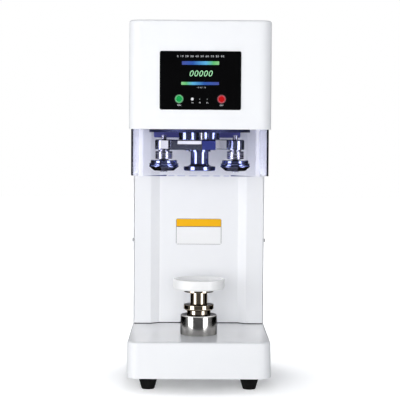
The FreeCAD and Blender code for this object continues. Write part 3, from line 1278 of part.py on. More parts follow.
def seaming_lever(number, side):
    """Lever with a pivot hub, a link and a boss for the roller pin."""
    corners = [
        ("lever_tail", "-pivot_front - lever_width / 2"),
        ("-lever_elbow", "-pivot_front - lever_width / 2"),
        ("-roller_spread - lever_link_half", "-lever_link_half / 2"),
        ("-roller_spread + lever_link_half", "lever_link_half / 2"),
        ("-lever_elbow + lever_link_foot", "-pivot_front + lever_width / 2"),
        ("lever_tail", "-pivot_front + lever_width / 2"),
    ]
    turned_corners = [(f"{-side} * ({across})", f"{-side} * ({along})") for across, along in corners]
    bar = padded(f"lever_bar_{number}", turned_corners, "lever_height", y=axis_y, z=lever_bottom)
    boss = rod(f"lever_boss_{number}", f"{side} * roller_spread", axis_y, lever_bottom, "lever_boss_radius",
               "lever_height")
    pivot_place = (f"{side} * pivot_side", f"{axis_y} + {side} * pivot_front")
    hub = rod(f"lever_hub_{number}", *pivot_place, lever_bottom, "lever_hub_radius", "lever_height")
    pivot_hole = rod(f"lever_pivot_hole_{number}", *pivot_place, f"{lever_bottom} - 1",
                     "pivot_radius + press_gap", "lever_height + 2")
    pin_hole = rod(f"lever_pin_hole_{number}", f"{side} * roller_spread", axis_y, f"{lever_bottom} - 1",
                   "pin_stem_radius + press_gap", "lever_height + 2")
    slit_low = "lever_slit_start" if side < 0 else "-lever_tail - 1"
    slit = box(f"lever_slit_{number}", slit_low, f"{axis_y} + {side} * pivot_front - lever_slit_width / 2",
               f"{lever_bottom} - 1", "lever_tail - lever_slit_start + 1", "lever_slit_width",
               "lever_height + 2")
    return cut(f"seaming_lever_{number}", fuse(f"lever_body_{number}", bar, boss, hub), pivot_hole, pin_hole,
               slit)


def crank_shaft(number, side):
    """Pivot shaft of a lever, with the crank arm and cam follower on top."""
    pivot_place = (f"{side} * pivot_side", f"{axis_y} + {side} * pivot_front")
    shaft = rod(f"crank_pivot_{number}", *pivot_place, f"{lever_bottom} - 1", "pivot_radius",
                f"{crank_top} + crank_shaft_stub - {lever_bottom} + 1")
    reach_x = "(pivot_side + follower_side)"
    reach_y = "(pivot_front - follower_front)"
    reach = f"sqrt({reach_x} ^ 2 + {reach_y} ^ 2)"
    corners = []
    for start_x, start_y, half, turn in (
        ("-pivot_side", "-pivot_front", "crank_root_half", 1),
        ("-pivot_side", "-pivot_front", "crank_root_half", -1),
        ("follower_side", "-follower_front", "crank_tip_half", -1),
        ("follower_side", "-follower_front", "crank_tip_half", 1),
    ):
        corners.append((f"{-side} * ({start_x} - {turn} * {half} * {reach_y} / {reach})",
                        f"{-side} * ({start_y} + {turn} * {half} * {reach_x} / {reach})"))
    arm = padded(f"crank_arm_{number}", corners, "crank_height", y=axis_y, z=crank_bottom)
    root = rod(f"crank_root_{number}", *pivot_place, crank_bottom, "crank_root_half", "crank_height")
    tip_place = (f"{-side} * follower_side", f"{axis_y} + {side} * follower_front")
    tip = rod(f"crank_tip_{number}", *tip_place, crank_bottom, "crank_tip_half", "crank_height")
    neck = rod(f"follower_neck_{number}", *tip_place, crank_bottom, "follower_neck_radius",
               f"{follower_middle} - {crank_bottom}")
    ball = doc.addObject("Part::Sphere", f"follower_{number}")
    bind(ball, "Radius", "follower_radius")
    bind(ball, "Angle1", "-asin(follower_height / 2 / follower_radius)")
    bind(ball, "Angle2", "asin(follower_height / 2 / follower_radius)")
    place(ball, *tip_place, follower_middle)
    return fuse(f"crank_shaft_{number}", shaft, arm, root, tip, neck, ball)


roller_top = f"({chuck_bottom} + roller_height)"
rim_bottom = f"({chuck_bottom} + roller_rim_rise)"
pin_profile = [
    ("0", f"{chuck_bottom} - face_gap - pin_head_height"),
    ("pin_head_radius", f"{chuck_bottom} - face_gap - pin_head_height"),
    ("pin_head_radius", f"{chuck_bottom} - face_gap"),
    ("roller_pin_radius", f"{chuck_bottom} - face_gap"),
    ("roller_pin_radius", f"{roller_top} + face_gap"),
    ("pin_neck_radius", f"{roller_top} + face_gap"),
    ("pin_neck_radius", f"{roller_top} + face_gap + pin_neck_height"),
    ("collar_radius", f"{roller_top} + face_gap + pin_neck_height"),
    ("collar_radius", f"{roller_top} + face_gap + pin_neck_height + collar_height"),
    ("pin_shoulder_radius", f"{roller_top} + face_gap + pin_neck_height + collar_height"),
    ("pin_shoulder_radius", lever_bottom),
    ("pin_stem_radius", lever_bottom),
    ("pin_stem_radius", lever_top),
    ("pin_stub_radius", lever_top),
    ("pin_stub_radius", f"{lever_top} + pin_stub_height"),
    ("0", f"{lever_top} + pin_stub_height"),
]
roller_profile = [
    ("roller_pin_radius + running_gap", chuck_bottom),
    ("roller_nose_radius", chuck_bottom),
    ("roller_nose_radius + roller_bevel", f"{chuck_bottom} + roller_nose_height / 2"),
    ("roller_radius - roller_bevel / 2", f"{rim_bottom} - roller_bevel"),
    ("roller_radius", rim_bottom),
    ("roller_radius - roller_groove_depth", f"{rim_bottom} + roller_rim_height / 3"),
    ("roller_radius - roller_groove_depth", f"{rim_bottom} + roller_rim_height * 2 / 3"),
    ("roller_radius", f"{rim_bottom} + roller_rim_height"),
    ("roller_body_radius", f"{rim_bottom} + roller_rim_height + roller_bevel"),
    ("roller_body_radius", f"{roller_top} - roller_bevel"),
    ("roller_body_radius - roller_bevel", roller_top),
    ("roller_pin_radius + running_gap", roller_top),
]
for side, number in pivots:
    node(f"seaming_lever_{number}", seaming_lever(number, side))
    node(f"crank_shaft_{number}", crank_shaft(number, side))
    spot = (f"{side} * roller_spread", axis_y)
    node(f"roller_pin_{number}", turned(f"roller_pin_{number}", pin_profile, *spot))
    node(f"seaming_roller_{number}", turned(f"seaming_roller_{number}", roller_profile, *spot))

# Shift sleeve with its cone, the shift fork and the actuator
sleeve_profile = [
    (sleeve_bore, sleeve_foot),
    (sleeve_foot_radius, sleeve_foot),
    ("sleeve_radius", cone_top),
    ("sleeve_radius", groove_bottom),
    ("groove_radius", groove_bottom),
    ("groove_radius", groove_top),
    ("sleeve_radius", groove_top),
    ("sleeve_radius", sleeve_top),
    (sleeve_bore, sleeve_top),
]
node("shift_sleeve", turned("shift_sleeve", sleeve_profile, 0, axis_y))
fork_bottom = f"({groove_bottom} + face_gap)"
fork_height = "(groove_height - 2 * face_gap)"
fork_inside = "(groove_radius + fork_gap)"
rod_y = f"({axis_y} + fork_reach)"
horseshoe = cut("fork_horseshoe",
                rod("fork_round", 0, axis_y, fork_bottom, "fork_radius", fork_height),
                rod("fork_hole", 0, axis_y, f"{fork_bottom} - 1", fork_inside, f"{fork_height} + 2"),
                box("fork_mouth", "-fork_radius - 1", f"{axis_y} - fork_radius - 1", f"{fork_bottom} - 1",
                    "2 * fork_radius + 2", "fork_radius + 1 - fork_opening", f"{fork_height} + 2"))
fork_arm = box("fork_arm", "-fork_arm_half", f"{axis_y} + {fork_inside} + fork_overlap", fork_bottom,
               "2 * fork_arm_half", f"fork_reach + fork_arm_half - {fork_inside} - fork_overlap", fork_height)
rod_foot = f"({disc_top} + actuator_floor + shift_travel + rod_room)"
fork_rod = rod("fork_rod", 0, rod_y, rod_foot, "rod_radius", f"{fork_bottom} - {rod_foot} + 1")
node("shift_fork", fuse("shift_fork", horseshoe, fork_arm, fork_rod))
actuator_box = box("actuator_box", "-actuator_width / 2", f"{rod_y} - actuator_depth / 2", disc_top,
                   "actuator_width", "actuator_depth", "actuator_height")
actuator_motor = rod("actuator_motor", "actuator_width / 2 - 1", rod_y, f"{disc_top} + actuator_height / 2",
                     "actuator_motor_radius", "actuator_motor_length + 1", "X")
actuator_bore = rod("actuator_bore", 0, rod_y, f"{disc_top} + actuator_floor", "rod_radius + running_gap",
                    "actuator_height")
node("shift_actuator", cut("shift_actuator", fuse("actuator_body", actuator_box, actuator_motor),
                           actuator_bore))

# Lift: steel guide cylinder on a stand, with the ram inside
guide_profile = [
    ("ram_radius + running_gap", stand_top),
    ("guide_lower_radius", stand_top),
    ("guide_lower_radius", base_top),
    ("guide_radius", base_top),
    ("guide_radius", f"{guide_top} - guide_bevel"),
    ("guide_radius - guide_bevel", guide_top),
    ("ram_radius + running_gap", guide_top),
]
node("lift_guide", turned("lift_guide", guide_profile, 0, axis_y))
stand_plate = box("stand_plate", "-stand_half_width", f"{axis_y} - stand_half_depth",
                  f"{stand_top} - stand_thickness", "2 * stand_half_width", "2 * stand_half_depth",
                  "stand_thickness")
stand_legs = [rod(f"stand_leg_{side}_{end}", f"{side} * (stand_half_width - stand_pillar_inset)",
                  f"{axis_y} + {end} * (stand_half_depth - stand_pillar_inset)", base_floor,
                  "stand_pillar_radius", "stand_top_rise - stand_thickness + 1")
              for side in (-1, 1) for end in (-1, 1)]
stand_hole = rod("stand_hole", 0, axis_y, f"{stand_top} - stand_thickness - 1",
                 "screw_radius + stand_hole_room",
                 "stand_thickness + 2")
stand = cut("lift_stand_cut", fuse("stand_body", stand_plate, *stand_legs), stand_hole)
stem_bottom = f"({ram_top} - stem_depth)"
ram_profile = [
    ("nut_radius + press_gap", ram_bottom),
    ("ram_radius", ram_bottom),
    ("ram_radius", ram_top),
    ("stem_radius + running_gap", ram_top),
    ("stem_radius + running_gap", f"{stem_bottom} - stem_bore_room"),
    ("ram_bore_radius", f"{stem_bottom} - stem_bore_room"),
    ("ram_bore_radius", nut_top),
    ("nut_radius + press_gap", nut_top),
]
node("lift_ram", turned("lift_ram", ram_profile, 0, axis_y))
node("lift_nut", turned("lift_nut", [
    ("screw_radius + running_gap", ram_bottom),
    ("nut_radius", ram_bottom),
    ("nut_radius", nut_top),
    ("screw_radius + running_gap", nut_top),
], 0, axis_y))
node("lock_ring", turned("lock_ring", [
    ("stem_radius + running_gap", ram_top),
    ("ring_outer_radius - lock_ring_bevel", ram_top),
    ("ring_outer_radius", f"{ram_top} + lock_ring_bevel"),
    ("ring_outer_radius", lock_ring_top),
    ("stem_radius + running_gap", lock_ring_top),
], 0, axis_y))
node("height_stem", turned("height_stem", [
    ("0", stem_bottom),
    ("stem_radius", stem_bottom),
    ("stem_radius", f"{stem_top} - stem_flange_height"),
    ("stem_flange_radius", f"{stem_top} - stem_flange_height"),
    ("stem_flange_radius", stem_top),
    ("0", stem_top),
], 0, axis_y))
tray_top = f"({stem_top} + tray_height)"
node("can_tray", turned("can_tray", [
    ("0", stem_top),
    ("tray_foot_radius", stem_top),
    ("tray_radius", f"{stem_top} + tray_bevel_height"),
    ("tray_radius", tray_top),
    ("tray_recess_radius", tray_top),
    ("tray_recess_radius", f"{tray_top} - tray_recess_depth"),
    ("0", f"{tray_top} - tray_recess_depth"),
], 0, axis_y))

# Lift screw with its pulley, bearing block, belt and motor
block = box("screw_block_blank", "-screw_block_half", f"{axis_y} - screw_block_half", base_floor,
            "2 * screw_block_half", "2 * screw_block_half", "screw_block_height")
journal_hole = rod("screw_block_bore", 0, axis_y, f"{base_floor} + screw_block_floor",
                   "screw_radius + running_gap", "screw_block_height")
node("lift_stand", group("lift_stand", [stand, cut("screw_bearing", block, journal_hole)]))


def with_lift_screw(profile):
    foot = f"{base_floor} + screw_block_floor + face_gap"
    top = f"{nut_top} + lift_travel + screw_end_room"
    return ([("0", foot), ("screw_radius", foot), ("screw_radius", lift_pulley_bottom)] + profile[1:-1]
            + [("screw_radius", lift_pulley_top), ("screw_radius", top), ("0", top)])


node("lift_screw", flanged_pulley("lift_screw", 0, axis_y, lift_pulley_bottom, "lift_pulley_height",
                                  "screw_pulley_radius", "pulley_flange", "lift_flange_proud", "0",
                                  with_lift_screw))
motor_plate_bottom = f"({lift_pulley_top} + lift_plate_room)"
legs_place = "(lift_motor_plate_half - lift_motor_leg_inset)"
lift_plate = box("lift_motor_plate_blank", "-lift_motor_plate_half",
                 "lift_motor_back - lift_motor_plate_half",
                 motor_plate_bottom, "2 * lift_motor_plate_half", "2 * lift_motor_plate_half",
                 "lift_motor_plate")
lift_can = rod("lift_motor_can", 0, "lift_motor_back", motor_plate_bottom, "lift_motor_radius",
               "lift_motor_plate + lift_motor_height")
lift_legs = [rod(f"lift_motor_leg_{side}_{end}", f"{side} * {legs_place}",
                 f"lift_motor_back + {end} * {legs_place}",
                 base_floor, "lift_motor_leg_radius", f"{motor_plate_bottom} - {base_floor} + 1")
             for side in (-1, 1) for end in (-1, 1)]
lift_bore = rod("lift_motor_bore", 0, "lift_motor_back", f"{motor_plate_bottom} - 1",
                "lift_shaft_radius + running_gap", "lift_shaft_depth + 2")
node("lift_motor", cut("lift_motor", fuse("lift_motor_body", lift_plate, lift_can, *lift_legs), lift_bore))


def with_lift_shaft(profile):
    top = f"{motor_plate_bottom} + lift_shaft_depth"
    return profile[:-1] + [("lift_shaft_radius", lift_pulley_top), ("lift_shaft_radius", top), ("0", top)]


node("lift_motor_pulley", flanged_pulley("lift_motor_pulley", 0, "lift_motor_back", lift_pulley_bottom,
                                         "lift_pulley_height", "lift_pulley_radius", "pulley_flange",
                                         "lift_flange_proud", "0", with_lift_shaft))
doc.recompute()
lift_belt_bottom = doc.getObject("lift_motor_pulley").Shape.BoundBox.ZMin + pulley_flange + belt_gap
node("lift_belt", belt("lift_belt", -axis_forward, screw_radius_b + belt_gap, lift_motor_back,
                       lift_radius_b + belt_gap, lift_belt_bottom,
                       lift_pulley_height - 2 * pulley_flange - 2 * belt_gap, lift_belt_thickness))

doc.recompute()
for thing in doc.Objects:
    if "Invalid" in thing.State or "Error" in thing.State:
        raise RuntimeError(f"{thing.Name} failed: {thing.State}")
for piece in nodes:
    if piece.Shape.isNull() or not piece.Shape.isValid() or not piece.Shape.Solids:
        raise RuntimeError(f"{piece.Label} has no valid solid")

os.makedirs("parts", exist_ok=True)
for piece in nodes:
    piece.Shape.exportStep(f"parts/{piece.Label}.step")
print(f"{len(nodes)} sub-parts written")
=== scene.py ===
import math
import bmesh
import bpy
from mathutils import Matrix, Vector


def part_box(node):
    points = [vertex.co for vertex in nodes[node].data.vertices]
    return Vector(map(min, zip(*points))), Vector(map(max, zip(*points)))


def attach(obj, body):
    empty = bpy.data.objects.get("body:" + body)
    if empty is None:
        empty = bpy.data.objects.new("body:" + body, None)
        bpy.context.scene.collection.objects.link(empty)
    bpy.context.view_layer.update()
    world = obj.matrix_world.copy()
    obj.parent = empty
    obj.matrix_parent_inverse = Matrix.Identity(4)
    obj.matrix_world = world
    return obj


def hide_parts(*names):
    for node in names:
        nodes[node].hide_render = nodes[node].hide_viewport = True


# Bench-top can seamer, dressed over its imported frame.
# The frame is in metres, +X right, +Y back, +Z up; outlines and sections here are drawn in millimetres.
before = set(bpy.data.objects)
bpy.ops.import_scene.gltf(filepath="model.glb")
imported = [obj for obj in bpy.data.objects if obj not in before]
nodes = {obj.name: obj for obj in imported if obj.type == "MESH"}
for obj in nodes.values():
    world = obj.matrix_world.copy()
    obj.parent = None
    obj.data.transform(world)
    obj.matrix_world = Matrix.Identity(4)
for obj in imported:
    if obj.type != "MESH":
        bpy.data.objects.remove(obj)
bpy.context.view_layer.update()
scene = bpy.context.scene

# Camera: it stands 2.3 m in front, a little left of the middle, level with the seaming head.
# It looks three degrees down and leans a third of a degree, like a hand-levelled tripod.
camera_place = (-0.0155, -2.3237, 0.446)
pitch, yaw, roll = math.radians(3.14), math.radians(0.42), math.radians(0.33)
film_width, picture_pixels, focal_pixels = 36, 400, 1296.5
forward = Vector((math.sin(yaw) * math.cos(pitch), math.cos(yaw) * math.cos(pitch), -math.sin(pitch)))
level = Vector((math.cos(yaw), -math.sin(yaw), 0))
above = level.cross(forward)
picture_right = math.cos(roll) * level + math.sin(roll) * above
picture_up = math.cos(roll) * above - math.sin(roll) * level
lens = bpy.data.cameras.new("tripod_camera")
lens.sensor_width = film_width
lens.lens = focal_pixels * film_width / picture_pixels
camera = bpy.data.objects.new("tripod_camera", lens)
camera.matrix_world = Matrix((*zip(picture_right, picture_up, -forward, camera_place), (0, 0, 0, 1)))
scene.collection.objects.link(camera)
scene.camera = camera
scene.view_settings.view_transform = "Standard"

# Studio: white room for the camera and for the clear guard, with soft light from the front.
# Metal sees a dim room with a bright ceiling and two tall white panels, left and right of the camera.
world = bpy.data.worlds.new("studio_room")
scene.world = world
world.use_nodes = True
room = world.node_tree
room.nodes.clear()


def node_of(tree, kind, **settings):
    """A shader node; its inputs are set by name, its own settings by attribute."""
    made = tree.nodes.new("ShaderNode" + kind)
    for key, value in settings.items():
        if hasattr(made, key):
            setattr(made, key, value)
        else:
            made.inputs[key.replace("_", " ")].default_value = value
    return made


def wire(tree, *pairs):
    """Link each start socket to its end socket."""
    for start, end in pairs:
        tree.links.new(start, end)


def combined(tree, operation, first, second, **settings):
    """One value from two; the second may be a plain number."""
    made = node_of(tree, "Math", operation=operation, **settings)
    wire(tree, (first, made.inputs[0]))
    if isinstance(second, float):
        made.inputs[1].default_value = second
    else:
        wire(tree, (second, made.inputs[1]))
    return made.outputs[0]


def ray_kinds(tree):
    """Two masks: rays that a surface mirrored, and rays that look straight out or through the guard."""
    ray = node_of(tree, "LightPath")
    mirrored = combined(tree, "GREATER_THAN", ray.outputs["Glossy Depth"], 0.5)
    through_guard = combined(tree, "SUBTRACT", ray.outputs["Is Transmission Ray"], mirrored, use_clamp=True)
    return mirrored, combined(tree, "MAXIMUM", ray.outputs["Is Camera Ray"], through_guard)


room_mirrored, room_seen = ray_kinds(room)
direction = node_of(room, "SeparateXYZ")
wire(room, (node_of(room, "TexCoord").outputs["Generated"], direction.inputs[0]))
to_right, to_back, upward = direction.outputs
panels = node_of(room, "ValToRGB")


def graded(tree, value, start, end, low=0.0, high=1.0):
    """A value that runs from low to high while another runs from start to end."""
    made = node_of(tree, "MapRange", From_Min=start, From_Max=end, To_Min=low, To_Max=high)
    wire(tree, (value, made.inputs["Value"]))
    return made.outputs["Result"]


def set_stops(ramp_node, stops):
    """Give a colour ramp its stops: a position, and a grey level or a colour."""
    elements = ramp_node.color_ramp.elements
    while len(elements) < len(stops):
        elements.new(0.5)
    for stop, (position, tone) in zip(elements, stops):
        stop.position = position
        stop.color = (*tone, 1) if isinstance(tone, tuple) else (tone, tone, tone, 1)


set_stops(panels, (
    (0.0, 0.03), (0.035, 0.05), (0.05, 1.0), (0.185, 1.0), (0.20, 0.02), (0.40, 0.022), (0.60, 0.022),
    (0.745, 0.02), (0.76, 1.0), (0.90, 1.0), (0.915, 0.05), (1.0, 0.03)))
wire(room, (graded(room, to_right, -1.0, 1.0), panels.inputs["Fac"]))
panel_reach = combined(room, "MULTIPLY", graded(room, to_back, 0.05, -0.05), graded(room, upward, 0.12, 0.05))
panel_light = combined(room, "MULTIPLY", panels.outputs["Color"], panel_reach)
ceiling = graded(room, upward, 0.35, 0.75, high=0.24)
backdrop = combined(room, "MULTIPLY", graded(room, upward, 0.03, 0.10, high=0.10),
                    graded(room, to_back, -0.05, 0.05))
dim_room = combined(room, "MAXIMUM", combined(room, "ADD", panel_light, ceiling), backdrop)
panel_brightness = 7.0
room_for_metal = node_of(room, "Background", Color=(1, 1, 1, 1))
room_light = node_of(room, "Background", Color=(0.90, 0.94, 1.0, 1))
room_white = node_of(room, "Background", Color=(1, 1, 1, 1))
room_end = node_of(room, "OutputWorld")


def chosen(tree, mask, otherwise, where_masked):
    """One of two shaders, by a mask."""
    made = node_of(tree, "MixShader")
    wire(tree,
         (mask, made.inputs[0]),
         (otherwise.outputs[0], made.inputs[1]),
         (where_masked.outputs[0], made.inputs[2]))
    return made


room_unseen = chosen(room, room_mirrored, room_light, room_for_metal)
wire(room,
     (combined(room, "MULTIPLY", dim_room, panel_brightness), room_for_metal.inputs["Strength"]),
     (graded(room, upward, 0.0, 0.9, low=0.41, high=0.28), room_light.inputs["Strength"]),
     (chosen(room, room_seen, room_unseen, room_white).outputs[0], room_end.inputs["Surface"]))


# Lamps: five rectangular soft boxes, two in front, one behind and one on each side.
# The camera doesn't see them, and nothing mirrors them.
def softbox(name, place, target, width, height, power):
    """A rectangular lamp that faces a point of the machine."""
    lamp = bpy.data.lights.new(name, "AREA")
    lamp.shape = "RECTANGLE"
    lamp.size = width
    lamp.size_y = height
    lamp.energy = power
    stand = bpy.data.objects.new(name, lamp)
    stand.location = place
    stand.rotation_euler = (Vector(target) - Vector(place)).to_track_quat("-Z", "Y").to_euler()
    stand.visible_camera = False
    stand.visible_glossy = False
    stand.visible_transmission = False
    scene.collection.objects.link(stand)


softbox("front_lamp", (-0.22, -2.3, 0.47), (0, -0.05, 0.33), width=1.7, height=0.85, power=26)
softbox("side_lamp", (-0.85, -1.15, 0.4), (0, -0.05, 0.33), width=0.7, height=0.6, power=3)
softbox("rear_lamp", (-0.9, 2.0, 0.7), (0, 0.1, 0.33), width=1.4, height=1.0, power=17)
softbox("left_lamp", (-2.3, 0.8, 0.6), (0, 0, 0.33), width=1.2, height=1.0, power=11)
softbox("right_lamp", (2.3, 0.8, 0.6), (0, 0, 0.33), width=1.2, height=1.0, power=9)

# Floor: matt white; its glow is dimmed under the machine, which paints a contact shadow there, and rises
# further out.
# There it runs into the white room; what metal mirrors below it is the room, not the floor.
floor_mesh = bpy.data.meshes.new("studio_floor")
floor_form = bmesh.new()
bmesh.ops.create_grid(floor_form, x_segments=1, y_segments=1, size=6)
floor_form.to_mesh(floor_mesh)
floor_form.free()
floor = bpy.data.objects.new("studio_floor", floor_mesh)
scene.collection.objects.link(floor)
floor_paint = bpy.data.materials.new("studio_floor")
floor_paint.use_nodes = True
paint = floor_paint.node_tree
paint.nodes.clear()
floor_mirrored, floor_seen = ray_kinds(paint)
floor_matt = node_of(paint, "BsdfDiffuse", Color=(0.92, 0.92, 0.925, 1))
floor_glow = node_of(paint, "Emission", Color=(1, 1, 1, 1))
floor_sum = node_of(paint, "AddShader")
floor_open = node_of(paint, "BsdfTransparent", Color=(1, 1, 1, 1))
floor_end = node_of(paint, "OutputMaterial")
from_machine = node_of(paint, "VectorMath", operation="LENGTH")
# Painted shadow: the floor glows least near the machine's middle and more further out.
glow_with_painted_shadow = node_of(paint, "ValToRGB")
set_stops(glow_with_painted_shadow, ((0.10, 0.12), (0.19, 0.50), (0.30, 0.74), (1.0, 0.95)))
glow_where_seen = combined(paint, "MULTIPLY", floor_seen, glow_with_painted_shadow.outputs["Color"])
wire(paint,
     (node_of(paint, "TexCoord").outputs["Object"], from_machine.inputs[0]),
     (from_machine.outputs["Value"], glow_with_painted_shadow.inputs["Fac"]),
     (glow_where_seen, floor_glow.inputs["Strength"]),
     (floor_matt.outputs[0], floor_sum.inputs[0]),
     (floor_glow.outputs[0], floor_sum.inputs[1]),
     (chosen(paint, floor_mirrored, floor_sum, floor_open).outputs[0], floor_end.inputs["Surface"]))
floor_mesh.materials.append(floor_paint)


# Base cover and head hood: white ABS, moulded in one piece each, glossy like a kitchen appliance.
# The gloss carries a faint orange peel and a little handling haze.
def effect(name, takes, gives):
    """An empty node group with its named sockets."""
    tree = bpy.data.node_groups.new(name, "ShaderNodeTree")
    for socket, kind, value in takes:
        made = tree.interface.new_socket(socket, in_out="INPUT", socket_type=kind)
        if value is not None:
            made.default_value = value
    for socket, kind in gives:
        tree.interface.new_socket(socket, in_out="OUTPUT", socket_type=kind)
    return tree, tree.nodes.new("NodeGroupInput"), tree.nodes.new("NodeGroupOutput")


# Fine bumps and uneven gloss, for moulded skins and powder coats.
skin, skin_in, skin_out = effect("skin_texture", [
    ("Place", "NodeSocketVector", None), ("Grain", "NodeSocketFloat", 900.0),
    ("Depth", "NodeSocketFloat", 0.1), ("Gloss", "NodeSocketFloat", 0.2), ("Spread", "NodeSocketFloat", 0.1),
], [("Roughness", "NodeSocketFloat"), ("Normal", "NodeSocketVector"), ("Haze", "NodeSocketFloat")])
skin_noise = node_of(skin, "TexNoise", Detail=3)
skin_bump = node_of(skin, "Bump", Distance=0.0002)
haze_noise = node_of(skin, "TexNoise", Scale=14, Detail=6, Roughness=0.6)
haze = graded(skin, haze_noise.outputs["Fac"], 0.35, 0.7)
skin_gloss = node_of(skin, "Math", operation="MULTIPLY_ADD")
wire(skin,
     (skin_in.outputs["Place"], skin_noise.inputs["Vector"]),
     (skin_in.outputs["Grain"], skin_noise.inputs["Scale"]),
     (skin_in.outputs["Depth"], skin_bump.inputs["Strength"]),
     (skin_noise.outputs["Fac"], skin_bump.inputs["Height"]),
     (skin_in.outputs["Place"], haze_noise.inputs["Vector"]),
     (haze, skin_gloss.inputs[0]),
     (skin_in.outputs["Spread"], skin_gloss.inputs[1]),
     (skin_in.outputs["Gloss"], skin_gloss.inputs[2]),
     (skin_gloss.outputs[0], skin_out.inputs["Roughness"]),
     (skin_bump.outputs["Normal"], skin_out.inputs["Normal"]),
     (haze, skin_out.inputs["Haze"]))


def finish(name, colour, roughness, **plain):
    """A Principled material; plain holds sockets that are the same all over."""
    material = bpy.data.materials.new(name)
    material.use_nodes = True
    tree = material.node_tree
    shader = tree.nodes["Principled BSDF"]
    shader.inputs["Base Color"].default_value = (*colour, 1)
    shader.inputs["Roughness"].default_value = roughness
    for socket, value in plain.items():
        shader.inputs[socket.replace("_", " ")].default_value = value
    return material, tree, shader, node_of(tree, "TexCoord").outputs["Object"]


def worked(name, colour, other_colour, gloss, plain, effect_tree, mask, **values):
    """A material that takes its bumps, its gloss and the mask of its second colour from an effect."""
    material, tree, shader, place = finish(name, colour, gloss, **plain)
    marks = node_of(tree, "Group", node_tree=effect_tree, Gloss=gloss, **values)
    tone = node_of(tree, "Mix", data_type="RGBA", A=(*colour, 1), B=(*other_colour, 1))
    wire(tree,
         (place, marks.inputs["Place"]),
         (marks.outputs[mask], tone.inputs["Factor"]),
         (tone.outputs["Result"], shader.inputs["Base Color"]),
         (marks.outputs["Roughness"], shader.inputs["Roughness"]),
         (marks.outputs["Normal"], shader.inputs["Normal"]))
    return material


def textured(name, colour, haze_colour, gloss, spread, grain, depth, **plain):
    """A coat or moulded skin with fine bumps and a cloudier tone where it is handled."""
    return worked(name, colour, haze_colour, gloss, plain, skin, "Haze",
                  Spread=spread, Grain=grain, Depth=depth)


def dress(material, *names):
    """Give carried-over frame nodes their real finish."""
    for name in names:
        for place in nodes[name].material_slots:
            place.material = material


white_gloss = textured("white_gloss_shell", (0.90, 0.905, 0.915), (0.885, 0.89, 0.905),
                       gloss=0.2, spread=0.05, grain=1400, depth=0.04, Specular_IOR_Level=0.1)
dress(white_gloss, "base_cover", "head_housing")

# Column: white powder-coated sheet steel, folded and screwed to the frame.
# The coat is satin with a fine pebble; the screws are black button heads.
white_coat = textured("white_powder_coat", (0.93, 0.935, 0.95), (0.918, 0.924, 0.94),
                      gloss=0.38, spread=0.07, grain=2600, depth=0.12, Coat_Weight=0.15, Coat_Roughness=0.2)
dress(white_coat, "column_front_panel", "column_side_panels", "rear_cover")
black_oxide = textured("black_oxide_screws", (0.02, 0.02, 0.022), (0.035, 0.035, 0.037),
                       gloss=0.32, spread=0.15, grain=3000, depth=0.1, Metallic=0.6)
dress(black_oxide, "cover_screws")

# Frame, plates and fasteners behind the covers: zinc-plated sheet and machined bar.
# Zinc shows a soft spangle; nothing of it is polished.
zinc = textured("zinc_plate", (0.42, 0.43, 0.44), (0.30, 0.31, 0.33),
                gloss=0.35, spread=0.2, grain=260, depth=0.05, Metallic=0.9)
dress(zinc, "base_plate", "foot_screws", "column_frame", "head_plate", "lift_stand", "power_supply")

# Head's bottom plate: dark blue-black lacquered tray around the carrier disc.
# From below it closes the head and mirrors the room dimly.
lacquer = textured("blue_black_lacquer", (0.012, 0.014, 0.05), (0.02, 0.022, 0.07),
                   gloss=0.22, spread=0.1, grain=1800, depth=0.05)
dress(lacquer, "head_bottom_plate")

# Feet: black moulded rubber, matt, with faint dusty patches.
# They taper towards the floor, and a screw through each one holds it to the base.
rubber = textured("foot_rubber", (0.003, 0.003, 0.003), (0.006, 0.006, 0.006),
                  gloss=0.75, spread=0.15, grain=2200, depth=0.25, Specular_IOR_Level=0.08)
dress(rubber, "rubber_feet")

# Guard: clear acrylic sheet, 3 mm, tinted blue through its depth and bent round the head in one U.
# It casts no shadow, so that the bay stays light, and mirrors less than acrylic does, so that it stays clear.
clear, clear_tree, clear_shader, clear_place = finish(
    "clear_blue_acrylic", (0.97, 0.975, 1.0), 0.01, Transmission_Weight=1.0, IOR=1.33)
clear_skin = node_of(clear_tree, "Group", node_tree=skin, Grain=60.0, Depth=0.015, Gloss=0.01, Spread=0.03)
clear_depth = node_of(clear_tree, "VolumeAbsorption", Color=(0.16, 0.20, 0.80, 1), Density=36.0)
wire(clear_tree,
     (clear_place, clear_skin.inputs["Place"]),
     (clear_skin.outputs["Roughness"], clear_shader.inputs["Roughness"]),
     (clear_skin.outputs["Normal"], clear_shader.inputs["Normal"]),
     (clear_depth.outputs[0], clear_tree.nodes["Material Output"].inputs["Volume"]))
dress(clear, "safety_guard")
nodes["safety_guard"].visible_shadow = False


# Guard's lower edge: two stretches carry a painted dark blue reflection of the rollers, seen from the front.
# Between them the edge carries painted glints in pale dashes; all are thin lips on the front face.
def flat_face(form, points):
    """A face through points given in millimetres."""
    return form.faces.new([form.verts.new([part / 1000 for part in point]) for point in points])


def thicken(form, faces, along):
    """Draw flat faces out to a solid, by a vector in millimetres."""
    raised = bmesh.ops.extrude_face_region(form, geom=faces)
    moved = [item for item in raised["geom"] if isinstance(item, bmesh.types.BMVert)]
    bmesh.ops.translate(form, verts=moved, vec=[part / 1000 for part in along])


def settled(name, form, material, body, slot_name, *replaced, smooth=40):
    """Turn a bmesh into a piece that rides its body and stands for its frame nodes."""
    mesh = bpy.data.meshes.new(name)
    form.to_mesh(mesh)
    form.free()
    mesh.shade_smooth()
    mesh.set_sharp_from_angle(angle=math.radians(smooth))
    mesh.materials.append(material)
    piece = bpy.data.objects.new(name, mesh)
    scene.collection.objects.link(piece)
    straight = piece.modifiers.new("straight_faces", "WEIGHTED_NORMAL")
    straight.keep_sharp = True
    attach(piece, body)
    if replaced:
        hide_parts(*replaced)
